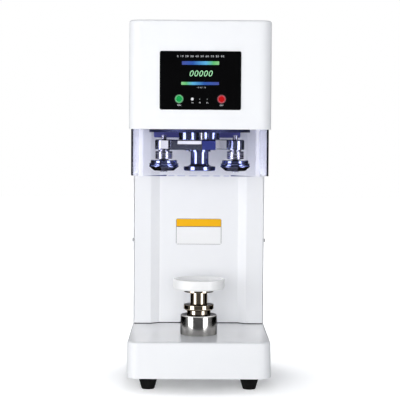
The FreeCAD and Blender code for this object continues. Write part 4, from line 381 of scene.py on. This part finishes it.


# Painted reflection: the dark blue of the two edge stretches stands for the rollers mirrored in the edge.
lip_painted_reflection = textured("guard_edge_painted_reflection", (0.03, 0.035, 0.16), (0.05, 0.055, 0.21),
                     gloss=0.3, spread=0.1, grain=900, depth=0.03)
guard_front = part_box("safety_guard")[0].y * 1000
lip_front, lip_depth = guard_front - 0.1, 0.08
for name, taper in (("guard_edge_left", ((-97, 366.6), (-56, 366.6), (-56, 368.7))),
                    ("guard_edge_right", ((52, 366.6), (91, 366.6), (52, 368.7)))):
    lip = bmesh.new()
    front = flat_face(lip, [(x, lip_front, z) for x, z in taper])
    thicken(lip, [front], (0, lip_depth, 0))
    bmesh.ops.recalc_face_normals(lip, faces=lip.faces)
    settled(name, lip, lip_painted_reflection, "frame", "clear_guard", smooth=30)
# Painted glints: pale dashes between the two dark stretches.
lip_painted_glint = textured("guard_edge_painted_glint", (0.36, 0.38, 0.62), (0.42, 0.44, 0.68),
                     gloss=0.3, spread=0.1, grain=900, depth=0.03)
dash_height, dash_middle = 1.0, 367.1
dashes = bmesh.new()
for start, end in ((-53, -43), (-38, -25), (-18, -5), (3, 16), (23, 34), (40, 49)):
    dash = bmesh.ops.create_cube(dashes, size=0.001)["verts"]
    bmesh.ops.scale(dashes, verts=dash, vec=(end - start, lip_depth, dash_height))
    bmesh.ops.translate(dashes, verts=dash,
                        vec=((start + end) / 2000, (lip_front + lip_depth / 2) / 1000, dash_middle / 1000))
settled("guard_edge_middle", dashes, lip_painted_glint, "frame", "clear_guard", smooth=30)

# Lathe-turned steel: rings of tool marks run round each piece's own axis.
# The polish is dark, so it shows black sides and the room's two panels as white streaks.
lathe, lathe_in, lathe_out = effect("lathe_marks", [
    ("Place", "NodeSocketVector", None), ("Axis", "NodeSocketVector", None),
    ("Pitch", "NodeSocketFloat", 2500.0), ("Depth", "NodeSocketFloat", 0.1),
    ("Gloss", "NodeSocketFloat", 0.2), ("Spread", "NodeSocketFloat", 0.1),
], [("Roughness", "NodeSocketFloat"), ("Normal", "NodeSocketVector"), ("Rings", "NodeSocketFloat")])
from_axis = node_of(lathe, "VectorMath", operation="SUBTRACT")
without_height = node_of(lathe, "VectorMath", operation="MULTIPLY")
without_height.inputs[1].default_value = (1, 1, 0)
radius = node_of(lathe, "VectorMath", operation="LENGTH")
axis_parts = node_of(lathe, "SeparateXYZ")
ring_place = node_of(lathe, "CombineXYZ")
ring_noise = node_of(lathe, "TexNoise", Detail=2)
ring_bump = node_of(lathe, "Bump", Distance=0.0001)
ring_gloss = node_of(lathe, "Math", operation="MULTIPLY_ADD")
wire(lathe,
     (lathe_in.outputs["Place"], from_axis.inputs[0]),
     (lathe_in.outputs["Axis"], from_axis.inputs[1]),
     (from_axis.outputs[0], without_height.inputs[0]),
     (without_height.outputs[0], radius.inputs[0]),
     (from_axis.outputs[0], axis_parts.inputs[0]),
     (radius.outputs["Value"], ring_place.inputs["X"]),
     (axis_parts.outputs["Z"], ring_place.inputs["Y"]),
     (ring_place.outputs[0], ring_noise.inputs["Vector"]),
     (lathe_in.outputs["Pitch"], ring_noise.inputs["Scale"]),
     (ring_noise.outputs["Fac"], ring_bump.inputs["Height"]),
     (lathe_in.outputs["Depth"], ring_bump.inputs["Strength"]),
     (ring_noise.outputs["Fac"], ring_gloss.inputs[0]),
     (lathe_in.outputs["Spread"], ring_gloss.inputs[1]),
     (lathe_in.outputs["Gloss"], ring_gloss.inputs[2]),
     (ring_gloss.outputs[0], lathe_out.inputs["Roughness"]),
     (ring_bump.outputs["Normal"], lathe_out.inputs["Normal"]),
     (ring_noise.outputs["Fac"], lathe_out.inputs["Rings"]))


def turned_metal(name, colour, ring_colour, axis, gloss, spread, pitch, depth, **plain):
    """Metal from the lathe, with its marks round a vertical axis."""
    return worked(name, colour, ring_colour, gloss, {"Metallic": 1.0, **plain}, lathe, "Rings",
                  Axis=(axis[0] / 1000, axis[1] / 1000, 0), Spread=spread, Pitch=pitch, Depth=depth)


def break_edges(form, width, segments=2):
    """Turn the faces outwards, then put a small round on every sharp edge."""
    bmesh.ops.recalc_face_normals(form, faces=form.faces)
    sharp = [line for line in form.edges if line.is_manifold and line.calc_face_angle() > math.radians(22)]
    bmesh.ops.bevel(form, geom=sharp, offset=width / 1000, affect="EDGES", segments=segments, profile=0.5,
                    material=-1, clamp_overlap=True)


def turned_piece(name, section, axis, edge, material, body, slot_name, *replaced):
    """A lathe-turned piece: its half section, its axis, and the width of its broken edges."""
    form = bmesh.new()
    points = [form.verts.new((r / 1000, 0, z / 1000)) for r, z in section]
    lines = [form.edges.new(pair) for pair in zip(points, points[1:])]
    if section[0][0] > 0:
        lines.append(form.edges.new((points[-1], points[0])))
    bmesh.ops.spin(form, geom=points + lines, cent=(0, 0, 0), axis=(0, 0, 1), angle=2 * math.pi, steps=128,
                   use_merge=True)
    bmesh.ops.remove_doubles(form, verts=form.verts, dist=1e-6)
    bmesh.ops.dissolve_degenerate(form, edges=form.edges, dist=1e-7)
    break_edges(form, edge, segments=3)
    bmesh.ops.translate(form, verts=form.verts, vec=(axis[0] / 1000, axis[1] / 1000, 0))
    settled(name, form, material, body, slot_name, *replaced)


seaming_axis = (0, -53)
# Painted shade: a near-black edge tint makes polished metal darken at grazing angles into dark outlines.
painted_dark_rim = (0.10, 0.10, 0.11, 1)
plain_steel = turned_metal("machined_steel", (0.42, 0.42, 0.43), (0.33, 0.33, 0.34), seaming_axis,
                           gloss=0.2, spread=0.15, pitch=1500, depth=0.1)
dress(plain_steel, "hollow_spindle", "chuck_shaft", "bearing_outer_rings", "bearing_inner_rings",
      "return_springs", "shift_sleeve", "lift_screw")
aluminium = turned_metal("machined_aluminium", (0.62, 0.63, 0.64), (0.5, 0.51, 0.52), seaming_axis,
                         gloss=0.3, spread=0.15, pitch=1200, depth=0.15)
dress(aluminium, "bearing_housing", "spindle_pulley", "motor_pulley", "lift_motor_pulley", "chuck_bridge")
bronze = turned_metal("cast_bronze", (0.55, 0.36, 0.14), (0.42, 0.27, 0.1), seaming_axis,
                      gloss=0.3, spread=0.15, pitch=1200, depth=0.1)
dress(bronze, "shift_fork", "lift_nut")

# Seaming chuck: hardened steel, turned and polished, pulled up against its fixed shaft.
# Its lip fits into the lid; the flare above it runs up to the neck and the top flange.
# Painted reflection: the navy tint in this polished steel's colour stands for blue reflected light, not the
# metal's own colour.
head_steel = turned_metal("seaming_head_steel", (0.25, 0.285, 0.52), (0.20, 0.23, 0.43), seaming_axis,
                          gloss=0.06, spread=0.05, pitch=1800, depth=0.02, Specular_Tint=painted_dark_rim)
turned_piece("seaming_chuck_turned", [
    (0, 374.9), (18, 374.9), (18, 372.9), (26.05, 372.9), (27.65, 374.5), (27.65, 380.4), (20.7, 381.4),
    (17.4, 382.9), (15.7, 385.3), (15.7, 406.2), (19.2, 406.2), (19.2, 409.8), (0, 409.8)],
    seaming_axis, 0.35, head_steel, "frame", "polished_steel", "seaming_chuck")


# Seaming rollers: hardened and ground, each with its seam groove round the rim.
# They turn on pins with a broad collar, which the levers clamp by their upper ends.
def painted_shade_copy(name, steel, edge, lower_colour):
    """A copy of a steel with painted shade: it fades to another colour from the upper to the lower height of
    its edge.
    """
    copy = steel.copy()
    copy.name = name
    tree = copy.node_tree
    shader = tree.nodes["Principled BSDF"]
    own = shader.inputs["Base Color"].links[0].from_socket
    where = node_of(tree, "SeparateXYZ")
    wire(tree, (node_of(tree, "TexCoord").outputs["Object"], where.inputs[0]))
    mixed = node_of(tree, "Mix", data_type="RGBA", A=(*lower_colour, 1))
    wire(tree,
         (graded(tree, where.outputs["Z"], edge[0] / 1000, edge[1] / 1000), mixed.inputs["Factor"]),
         (own, mixed.inputs["B"]),
         (mixed.outputs["Result"], shader.inputs["Base Color"]))
    return copy


roller_axes = {1: (-62.4, -53), 2: (62.4, -53)}
roller_section = [
    (5.05, 372.9), (17.5, 372.9), (18.7, 374), (25.6, 379.7), (26.2, 380.9), (25, 382.3), (25, 383.7),
    (26.2, 385.1), (23, 386.3), (23, 390.3), (21.8, 391.5), (5.05, 391.5)]
pin_section = [
    (0, 370.9), (6, 370.9), (6, 372.6), (5, 372.6), (5, 391.8), (8, 391.8), (8, 393.4), (14.7, 393.4),
    (14.7, 406.9), (10, 406.9), (10, 409.9), (6, 409.9), (6, 427.2), (4.5, 427.2), (4.5, 435.3), (0, 435.3)]
# Painted shade: each roller darkens to near black below this band, on its lower rim.
rim_shadow = (378.5, 381.2)
for number, axis in roller_axes.items():
    # Painted reflection: the rollers' navy tint stands for blue reflected light.
    roller_steel = turned_metal(f"roller_steel_{number}", (0.24, 0.275, 0.50), (0.195, 0.225, 0.42), axis,
                                gloss=0.06, spread=0.05, pitch=2200, depth=0.02, Specular_Tint=painted_dark_rim)
    roller_shaded = painted_shade_copy(f"roller_painted_shade_{number}", roller_steel, rim_shadow, (0.055, 0.057, 0.08))
    turned_piece(f"roller_{number}_turned", roller_section, axis, 0.25, roller_shaded,
                 f"roller_{number}", "polished_steel", f"seaming_roller_{number}")
    # Painted reflection: the pins' slight blue tint stands for blue reflected light.
    pin_steel = turned_metal(f"pin_steel_{number}", (0.42, 0.42, 0.50), (0.34, 0.34, 0.42), axis,
                             gloss=0.24, spread=0.06, pitch=1600, depth=0.04, Specular_Tint=painted_dark_rim)
    turned_piece(f"roller_pin_{number}_turned", pin_section, axis, 0.4, pin_steel, f"lever_{number}",
                 "polished_steel", f"roller_pin_{number}")

# Carrier disc, pivot posts and crank shafts: the disc is blued and nearly matt, its dark navy also painted
# shade under the head, and the rest is polished bar.
# The posts stand under the disc; the crank shafts turn in them and swing the levers.
# Painted shade: the disc's dark navy also stands for the shade band under the head.
blued = textured("blued_steel_painted_shade", (0.016, 0.02, 0.075), (0.03, 0.036, 0.11),
                 gloss=0.34, spread=0.12, grain=1500, depth=0.05, Metallic=0.5)
dress(blued, "carrier_disc")
dress(head_steel, "crank_shaft_1", "crank_shaft_2")
pivot_axes = {1: (-18.6, -98), 2: (18.6, -8)}
for number, axis in pivot_axes.items():
    turned_piece(f"pivot_post_{number}_turned", [(7.05, 427.5), (17.5, 427.5), (17.5, 440), (7.05, 440)],
                 axis, 0.5, head_steel, "carrier", "polished_steel", "pivot_posts")


# Seaming levers: milled from flat bar, ground on all faces, edges broken with a small chamfer.
# Each has a pivot hub, a link that cranks back to the roller boss, and a clamp slit in its tail.
# The second lever is the first one turned by half a turn about the seaming axis.
def flat_block(form, outline, low, high):
    """A plate of metal with this outline, as part of a milled piece."""
    face = flat_face(form, [(x, y, low) for x, y in outline])
    thicken(form, [face], (0, 0, high - low))


def round_block(form, centre, radius, low, high):
    """A disc of metal, as part of a milled piece."""
    disc = bmesh.ops.create_cone(form, cap_ends=True, segments=64, radius1=radius / 1000,
                                 radius2=radius / 1000, depth=(high - low) / 1000)
    bmesh.ops.translate(form, verts=disc["verts"],
                        vec=(centre[0] / 1000, centre[1] / 1000, (low + high) / 2000))


lever_outline = [(27, -59), (-50, -59), (-72.4, -5), (-52.4, 5), (-36, -35), (27, -35)]
lever_low, lever_high = 409.9, 427.2
boss_radius, hub_radius, brim_chamfer = 15.5, 13.9, 1.5
slit_middle, slit_half_length, slit_half_width, slit_proud = 16, 11, 0.9, 0.05
# Painted reflection: the levers' blue tint stands for blue reflected light.
lever_colours = (0.46, 0.48, 0.62), (0.36, 0.38, 0.50)
lever_steels = {
    1: turned_metal("lever_steel_mirror", *lever_colours, pivot_axes[1],
                    gloss=0.10, spread=0.08, pitch=1200, depth=0.03, Specular_Tint=painted_dark_rim),
    2: turned_metal("lever_steel_ground", *lever_colours, pivot_axes[2],
                    gloss=0.12, spread=0.08, pitch=1200, depth=0.03, Specular_Tint=painted_dark_rim),
}
# Painted highlight: a near-white finish on thin facings where the levers' faces catch the light.
painted_highlight_white = textured("painted_highlight_white", (0.92, 0.91, 0.91), (0.86, 0.85, 0.85),
                      gloss=0.42, spread=0.1, grain=1400, depth=0.05)
# Painted shade: a dark blue finish on the first lever's tail face.
tail_painted_shade = textured("tail_face_painted_shade", (0.020, 0.030, 0.17), (0.028, 0.04, 0.21),
                        gloss=0.3, spread=0.1, grain=1400, depth=0.05, Specular_IOR_Level=0.3)
for number, turn in ((1, 1), (2, -1)):
    lever = bmesh.new()
    flat_block(lever, [(turn * x, seaming_axis[1] + turn * y) for x, y in lever_outline],
               lever_low, lever_high)
    round_block(lever, roller_axes[number], boss_radius, lever_low, lever_high)
    round_block(lever, pivot_axes[number], hub_radius, lever_low, lever_high)
    bmesh.ops.recalc_face_normals(lever, faces=lever.faces)
    brims = [line for line in lever.edges if line.is_manifold and line.calc_face_angle() > math.radians(60)
             and min(end.co.z for end in line.verts) > (lever_high - 0.2) / 1000]
    bmesh.ops.bevel(lever, geom=brims, offset=brim_chamfer / 1000, affect="EDGES", segments=1, profile=0.5,
                    material=-1, clamp_overlap=True)
    break_edges(lever, 0.35)
    settled(f"seaming_lever_{number}_milled", lever, lever_steels[number],
            f"lever_{number}", "polished_steel", f"seaming_lever_{number}", smooth=35)
    # Thin facings carry painted highlights on the faces that show at the front, and the tail face carries
    # painted shade; a dark strip stands for the slit.
    facing = bmesh.new()
    if number == 1:
        flat_block(facing, [(-69.6, -65.1), (-69.3, -64.3), (-53.9, -101.5), (-54.3, -102)], 411.5, 425.8)
        flat_block(facing, [(-38, -112.3), (2.5, -112.3), (2.5, -111.8), (-38, -111.8)], 419.8, 425.4)
        tail_face = bmesh.new()
        flat_block(tail_face, [(4, -112.3), (26.8, -112.3), (26.8, -111.8), (4, -111.8)], 410.3, 425.6)
        break_edges(tail_face, 0.1, segments=1)
        settled("lever_tail_face", tail_face, tail_painted_shade, "lever_1", "polished_steel")
    else:
        flat_block(facing, [(27.5, -18.3), (35.8, -18.3), (50.5, -54.2), (50.8, -54.1), (36.1, -17.8),
                            (27.5, -17.8)], 411, 426)
    break_edges(facing, 0.1, segments=1)
    settled(f"lever_painted_highlight_{number}", facing, painted_highlight_white, f"lever_{number}", "polished_steel")
    slit = bmesh.new()
    left, right = turn * slit_middle - slit_half_length, turn * slit_middle + slit_half_length
    near, far = pivot_axes[number][1] - slit_half_width, pivot_axes[number][1] + slit_half_width
    flat_block(slit, [(left, near), (right, near), (right, far), (left, far)],
               lever_low - slit_proud, lever_high + slit_proud)
    break_edges(slit, 0.1)
    settled(f"lever_slit_{number}", slit, black_oxide, f"lever_{number}", "screw_black")


# Painted shade: a dark blue plate that hangs from the head behind the seaming head stands for the shade on
# the column's top.
# Its corners are rounded.
def rounded_plate(form, centre, half_x, half_z, corner, front, back):
    """A thin upright plate with rounded corners; y runs from front to back."""
    x, z = centre
    face = flat_face(form, [(x - half_x, front, z - half_z), (x + half_x, front, z - half_z),
                            (x + half_x, front, z + half_z), (x - half_x, front, z + half_z)])
    if corner:
        bmesh.ops.bevel(form, geom=list(face.verts), offset=corner / 1000, affect="VERTICES", segments=6,
                        profile=0.5, material=-1)
    thicken(form, list(form.faces), (0, back - front, 0))
    bmesh.ops.recalc_face_normals(form, faces=form.faces)


painted_shade_blue = textured("painted_shade_blue", (0.075, 0.08, 0.30), (0.09, 0.095, 0.34),
                       gloss=0.3, spread=0.1, grain=1500, depth=0.05)
shade_sheet = bmesh.new()
rounded_plate(shade_sheet, centre=(-4, 440), half_x=79, half_z=10, corner=2.5, front=50, back=51.5)
break_edges(shade_sheet, 0.3)
settled("rear_painted_shade_plate", shade_sheet, painted_shade_blue, "frame", "white_sheet", smooth=30)

# Lift: a ground steel cylinder on the base guides the ram, and a lock ring holds the stem's height.
# The cylinder is brushed round its axis, the rest is turned and polished, with a warmer tone.
guide_steel = turned_metal("guide_cylinder_steel", (0.52, 0.51, 0.50), (0.42, 0.415, 0.41), seaming_axis,
                           gloss=0.11, spread=0.07, pitch=900, depth=0.03, Specular_Tint=painted_dark_rim)
# Painted shade: the guide cylinder's colour darkens towards its bottom, below 112 mm.
guide_painted_shade = painted_shade_copy("guide_cylinder_painted_shade", guide_steel, (92, 112), (0.26, 0.257, 0.25))
turned_piece("lift_cylinder_turned", [
    (20.75, 56), (28, 56), (28, 85.4), (32.2, 85.4), (32.2, 118.2), (30.4, 120), (20.75, 120)],
    seaming_axis, 0.3, guide_painted_shade, "frame", "polished_steel", "lift_guide")
post_steel = turned_metal("post_steel", (0.42, 0.36, 0.29), (0.32, 0.27, 0.21), seaming_axis,
                          gloss=0.06, spread=0.05, pitch=1800, depth=0.02, Specular_Tint=painted_dark_rim)
dress(post_steel, "lift_ram")
turned_piece("lock_ring_turned", [
    (14.85, 128), (23.8, 128), (26.2, 130.4), (26.2, 137.7), (14.85, 137.7)],
    seaming_axis, 0.6, post_steel, "ram", "polished_steel", "lock_ring")
turned_piece("height_stem_turned", [
    (0, 102.5), (14.8, 102.5), (14.8, 160), (26.15, 160), (26.15, 165), (0, 165)],
    seaming_axis, 0.4, post_steel, "tray", "polished_steel", "height_stem")

# Column plate: a blank printed film with an amber head field and a grey border, stuck on the recessed panel.
# Nothing is printed in its fields.
film_grey = textured("film_border_grey", (0.13, 0.13, 0.135), (0.17, 0.17, 0.175),
                     gloss=0.4, spread=0.1, grain=900, depth=0.03)
film_amber = textured("film_amber", (0.97, 0.51, 0.006), (0.94, 0.48, 0.006),
                      gloss=0.4, spread=0.1, grain=900, depth=0.03, Specular_IOR_Level=0.2)
film_white = textured("film_white", (0.95, 0.95, 0.95), (0.93, 0.93, 0.93),
                      gloss=0.35, spread=0.1, grain=900, depth=0.03)
panel_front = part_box("column_front_panel")[0].y * 1000
recess_depth = 11
recess_face = panel_front + recess_depth
for name, centre, half_x, half_z, corner, film_thickness, film in (
    ("column_plate_border", (0, 256), 42, 23.8, 3, 0.10, film_grey),
    ("column_plate_amber", (0, 272.3), 41.1, 6.7, 0, 0.16, film_amber),
    ("column_plate_white", (0, 248.6), 41.1, 15.7, 0, 0.16, film_white),
):
    plate = bmesh.new()
    rounded_plate(plate, centre, half_x, half_z, corner, recess_face - film_thickness, recess_face)
    settled(name, plate, film, "frame", "white_sheet", smooth=30)

# Foot line: a thin black lip where the column's panel meets the base, a painted shadow for the gap there.
# It follows the folds of the panel.
foot_shadow_black = textured("foot_shadow_black", (0.02, 0.02, 0.022), (0.035, 0.035, 0.037),
                       gloss=0.5, spread=0.15, grain=1800, depth=0.2)
foot_shadow_line = [(-118.2, 0), (-88, 0), (-72.5, recess_depth), (72.5, recess_depth), (88, 0), (118.2, 0)]
foot_shadow = bmesh.new()
foot_shadow_proud, foot_shadow_clear = 0.7, 0.05
foot_shadow_low, foot_shadow_high = 85.45, 86.9
flat_block(foot_shadow, [(x, panel_front + y - foot_shadow_proud) for x, y in foot_shadow_line]
           + [(x, panel_front + y - foot_shadow_clear) for x, y in reversed(foot_shadow_line)], foot_shadow_low, foot_shadow_high)
break_edges(foot_shadow, 0.1, segments=1)
settled("column_foot_painted_shadow", foot_shadow, foot_shadow_black, "frame", "rubber")

# Motors, belts and boards inside the machine: enamelled motors, ribbed rubber belts, green boards.
# The inlet, the switch and the display's carrier are black moulded plastic.
motor_black = textured("motor_enamel", (0.02, 0.02, 0.022), (0.035, 0.035, 0.036),
                       gloss=0.4, spread=0.15, grain=1600, depth=0.15)
dress(motor_black, "main_motor", "lift_motor", "shift_actuator")
belt_rubber = textured("belt_rubber", (0.015, 0.015, 0.015), (0.025, 0.025, 0.025),
                       gloss=0.6, spread=0.1, grain=900, depth=0.4)
dress(belt_rubber, "drive_belt", "lift_belt")
board_green = textured("circuit_board", (0.01, 0.09, 0.04), (0.015, 0.12, 0.05),
                       gloss=0.4, spread=0.1, grain=500, depth=0.2)
dress(board_green, "control_board", "panel_board")
socket_black = textured("socket_plastic", (0.02, 0.02, 0.021), (0.03, 0.03, 0.031),
                        gloss=0.38, spread=0.1, grain=2400, depth=0.15)
dress(socket_black, "power_inlet", "switch_housing", "power_rocker", "display_module")

# Can tray: turned from white nylon, with a raised rim that centres the can.
# It sits on the stem's flange; its edges are rounded.
nylon = textured("white_nylon", (0.92, 0.92, 0.915), (0.905, 0.905, 0.90),
                 gloss=0.36, spread=0.1, grain=1200, depth=0.08)
turned_piece("can_tray_turned", [
    (0, 165), (42.5, 165), (45.45, 168), (45.45, 182.7), (41.5, 182.7), (41.5, 174.7), (0, 174.7)],
    seaming_axis, 0.8, nylon, "tray", "white_nylon", "can_tray")

# Control panel: black glass with thin lit graphics on its face.
# Two colour bars frame a row of green digits; plain numbers and ON and OFF stand for the captions.
panel_glass = textured("panel_black_glass", (0.0012, 0.0012, 0.0015), (0.002, 0.002, 0.0024),
                       gloss=0.08, spread=0.05, grain=300, depth=0.01, Specular_IOR_Level=0.12)
dress(panel_glass, "control_panel_glass")
glass_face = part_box("control_panel_glass")[0].y * 1000
ink_front = glass_face - 0.06


def lit(name, colour, strength):
    """Ink that is lit from behind: its own colour, and a glow of the same."""
    material, tree, shader, place = finish(name, colour, 0.35, Specular_IOR_Level=0.12)
    grain = node_of(tree, "TexNoise", Scale=2600.0, Detail=2.0)
    tone = node_of(tree, "VectorMath", operation="SCALE")
    tone.inputs[0].default_value = colour
    shader.inputs["Emission Strength"].default_value = strength
    wire(tree,
         (place, grain.inputs["Vector"]),
         (graded(tree, grain.outputs["Fac"], 0.0, 1.0, low=0.75, high=1.15), tone.inputs["Scale"]),
         (tone.outputs[0], shader.inputs["Base Color"]),
         (tone.outputs[0], shader.inputs["Emission Color"]))
    return material


def lit_bar(name, stops):
    """A colour bar that runs through its stops from left to right."""
    half_length = 31.2
    material, tree, shader, place = finish(name, (0, 0, 0), 0.35, Specular_IOR_Level=0.12)
    where = node_of(tree, "SeparateXYZ")
    colours = node_of(tree, "ValToRGB")
    set_stops(colours, stops)
    shader.inputs["Emission Strength"].default_value = 0.14
    wire(tree,
         (place, where.inputs[0]),
         (graded(tree, where.outputs["X"], -half_length / 1000, half_length / 1000), colours.inputs["Fac"]),
         (colours.outputs["Color"], shader.inputs["Base Color"]),
         (colours.outputs["Color"], shader.inputs["Emission Color"]))
    return material


def print_words(name, words, centre, height, material, slant=0.0, spread=1.0):
    """Printed characters on the glass: a flat text made a mesh, then stood upright in its place."""
    figure_share = 0.72  # height of a figure in a letter size of one
    curve = bpy.data.curves.new(name, "FONT")
    curve.body = words
    curve.size = height / figure_share / 1000
    curve.shear = slant
    curve.space_character = spread
    curve.align_x = "CENTER"
    curve.align_y = "CENTER"
    typed = bpy.data.objects.new(name, curve)
    form = bmesh.new()
    form.from_mesh(typed.to_mesh())
    typed.to_mesh_clear()
    bpy.data.objects.remove(typed)
    bmesh.ops.rotate(form, verts=form.verts, matrix=Matrix.Rotation(math.pi / 2, 3, "X"), cent=(0, 0, 0))
    thicken(form, list(form.faces), (0, 0.05, 0))
    bmesh.ops.recalc_face_normals(form, faces=form.faces)
    bmesh.ops.translate(form, verts=form.verts, vec=(centre[0] / 1000, ink_front / 1000, centre[1] / 1000))
    settled(name, form, material, "frame", "display", smooth=30)


def print_plate(name, centre, half_x, half_z, corner, material):
    """A printed bar or lamp window on the glass."""
    window = bmesh.new()
    rounded_plate(window, centre, half_x, half_z, corner, ink_front, glass_face)
    settled(name, window, material, "frame", "display", smooth=30)


blue, sky, green = (0.02, 0.08, 0.33), (0.09, 0.36, 0.60), (0.10, 0.42, 0.13)
violet, pale_green = (0.05, 0.07, 0.28), (0.22, 0.52, 0.22)
upper_colours = lit_bar("bar_blue_to_green", (
    (0, violet), (0.3, blue), (0.65, sky), (0.85, green), (1, pale_green)))
lower_colours = lit_bar("bar_green_to_blue", (
    (0, pale_green), (0.12, green), (0.3, sky), (0.6, blue), (1, violet)))
print_plate("bar_upper", (0, 555.7), 31, 3.0, 0.8, upper_colours)
print_plate("bar_lower", (-0.5, 521.7), 31.5, 2.5, 0.8, lower_colours)
ink_white = lit("lit_white", (0.62, 0.63, 0.65), strength=0.25)
ink_green = lit("lit_green", (0.30, 0.62, 0.34), strength=0.35)
ink_dim = lit("lit_dim", (0.22, 0.24, 0.24), strength=0.1)
print_words("display_digits", "00000", (0, 537.8), 10.2, ink_green, slant=0.25, spread=1.12)
print_words("title_scale", "0 10 20 30 40 50 60 70 80 90", (0, 566.8), 3.2, ink_white, spread=1.42)
print_words("small_scale", "10 20 30", (1.5, 514.9), 2.0, ink_white, spread=1.5)
print_words("start_caption", "ON", (-35.5, 485.4), 2.9, ink_white)
print_words("stop_caption", "OFF", (35.5, 485.4), 2.6, ink_white)
for number, lamp_x, lamp_ink, lamp_size in (
        (1, -13.5, ink_white, (2.1, 2.3, 1.6)), (2, -1, ink_dim, (0.8, 0.8, 0.5)),
        (3, 11.5, ink_dim, (0.8, 0.8, 0.5))):
    print_words(f"lamp_caption_{number}", f"{number}0", (lamp_x, 489.6), 2.2, ink_white, spread=1.3)
    print_plate(f"indicator_lamp_{number}", (lamp_x, 495.6), *lamp_size, lamp_ink)

# Push buttons: lit caps inside pale rings, one green and one red.
# The rings are frosted and take on the colour of their caps.
button_x, button_y, button_z = 35.5, -151.95, 495.8
back_radius, front_radius, ring_depth, ring_width = 7.5, 7.0, 0.9, 2.4
for word, side, cap_colour, ring_colour in (
        ("start", -1, (0.003, 0.30, 0.06), (0.26, 0.72, 0.38)),
        ("stop", 1, (0.46, 0.001, 0.003), (0.74, 0.16, 0.20))):
    ring_glow = lit(f"{word}_ring_glow", ring_colour, strength=0.35)
    ring = bmesh.new()
    bmesh.ops.create_cone(ring, cap_ends=True, segments=64, radius1=back_radius / 1000,
                          radius2=front_radius / 1000, depth=ring_depth / 1000)
    bmesh.ops.rotate(ring, verts=ring.verts, matrix=Matrix.Rotation(math.pi / 2, 3, "X"), cent=(0, 0, 0))
    bmesh.ops.inset_region(ring, faces=[face for face in ring.faces if len(face.verts) > 4],
                           thickness=ring_width / 1000, use_even_offset=True)
    bmesh.ops.delete(ring, geom=[face for face in ring.faces if len(face.verts) > 4], context="FACES")
    bmesh.ops.bridge_loops(ring, edges=[line for line in ring.edges if line.is_boundary])
    bmesh.ops.translate(ring, verts=ring.verts,
                        vec=(side * button_x / 1000, button_y / 1000, button_z / 1000))
    bmesh.ops.recalc_face_normals(ring, faces=ring.faces)
    settled(f"{word}_ring_bezel", ring, ring_glow, "frame", "ring_steel", smooth=30)
    dress(lit(f"{word}_cap_glow", cap_colour, strength=0.1), f"{word}_button")
ring_chrome = textured("button_ring_chrome", (0.75, 0.75, 0.77), (0.65, 0.65, 0.68),
                       gloss=0.12, spread=0.1, grain=900, depth=0.05, Metallic=1.0)
dress(ring_chrome, "button_rings")
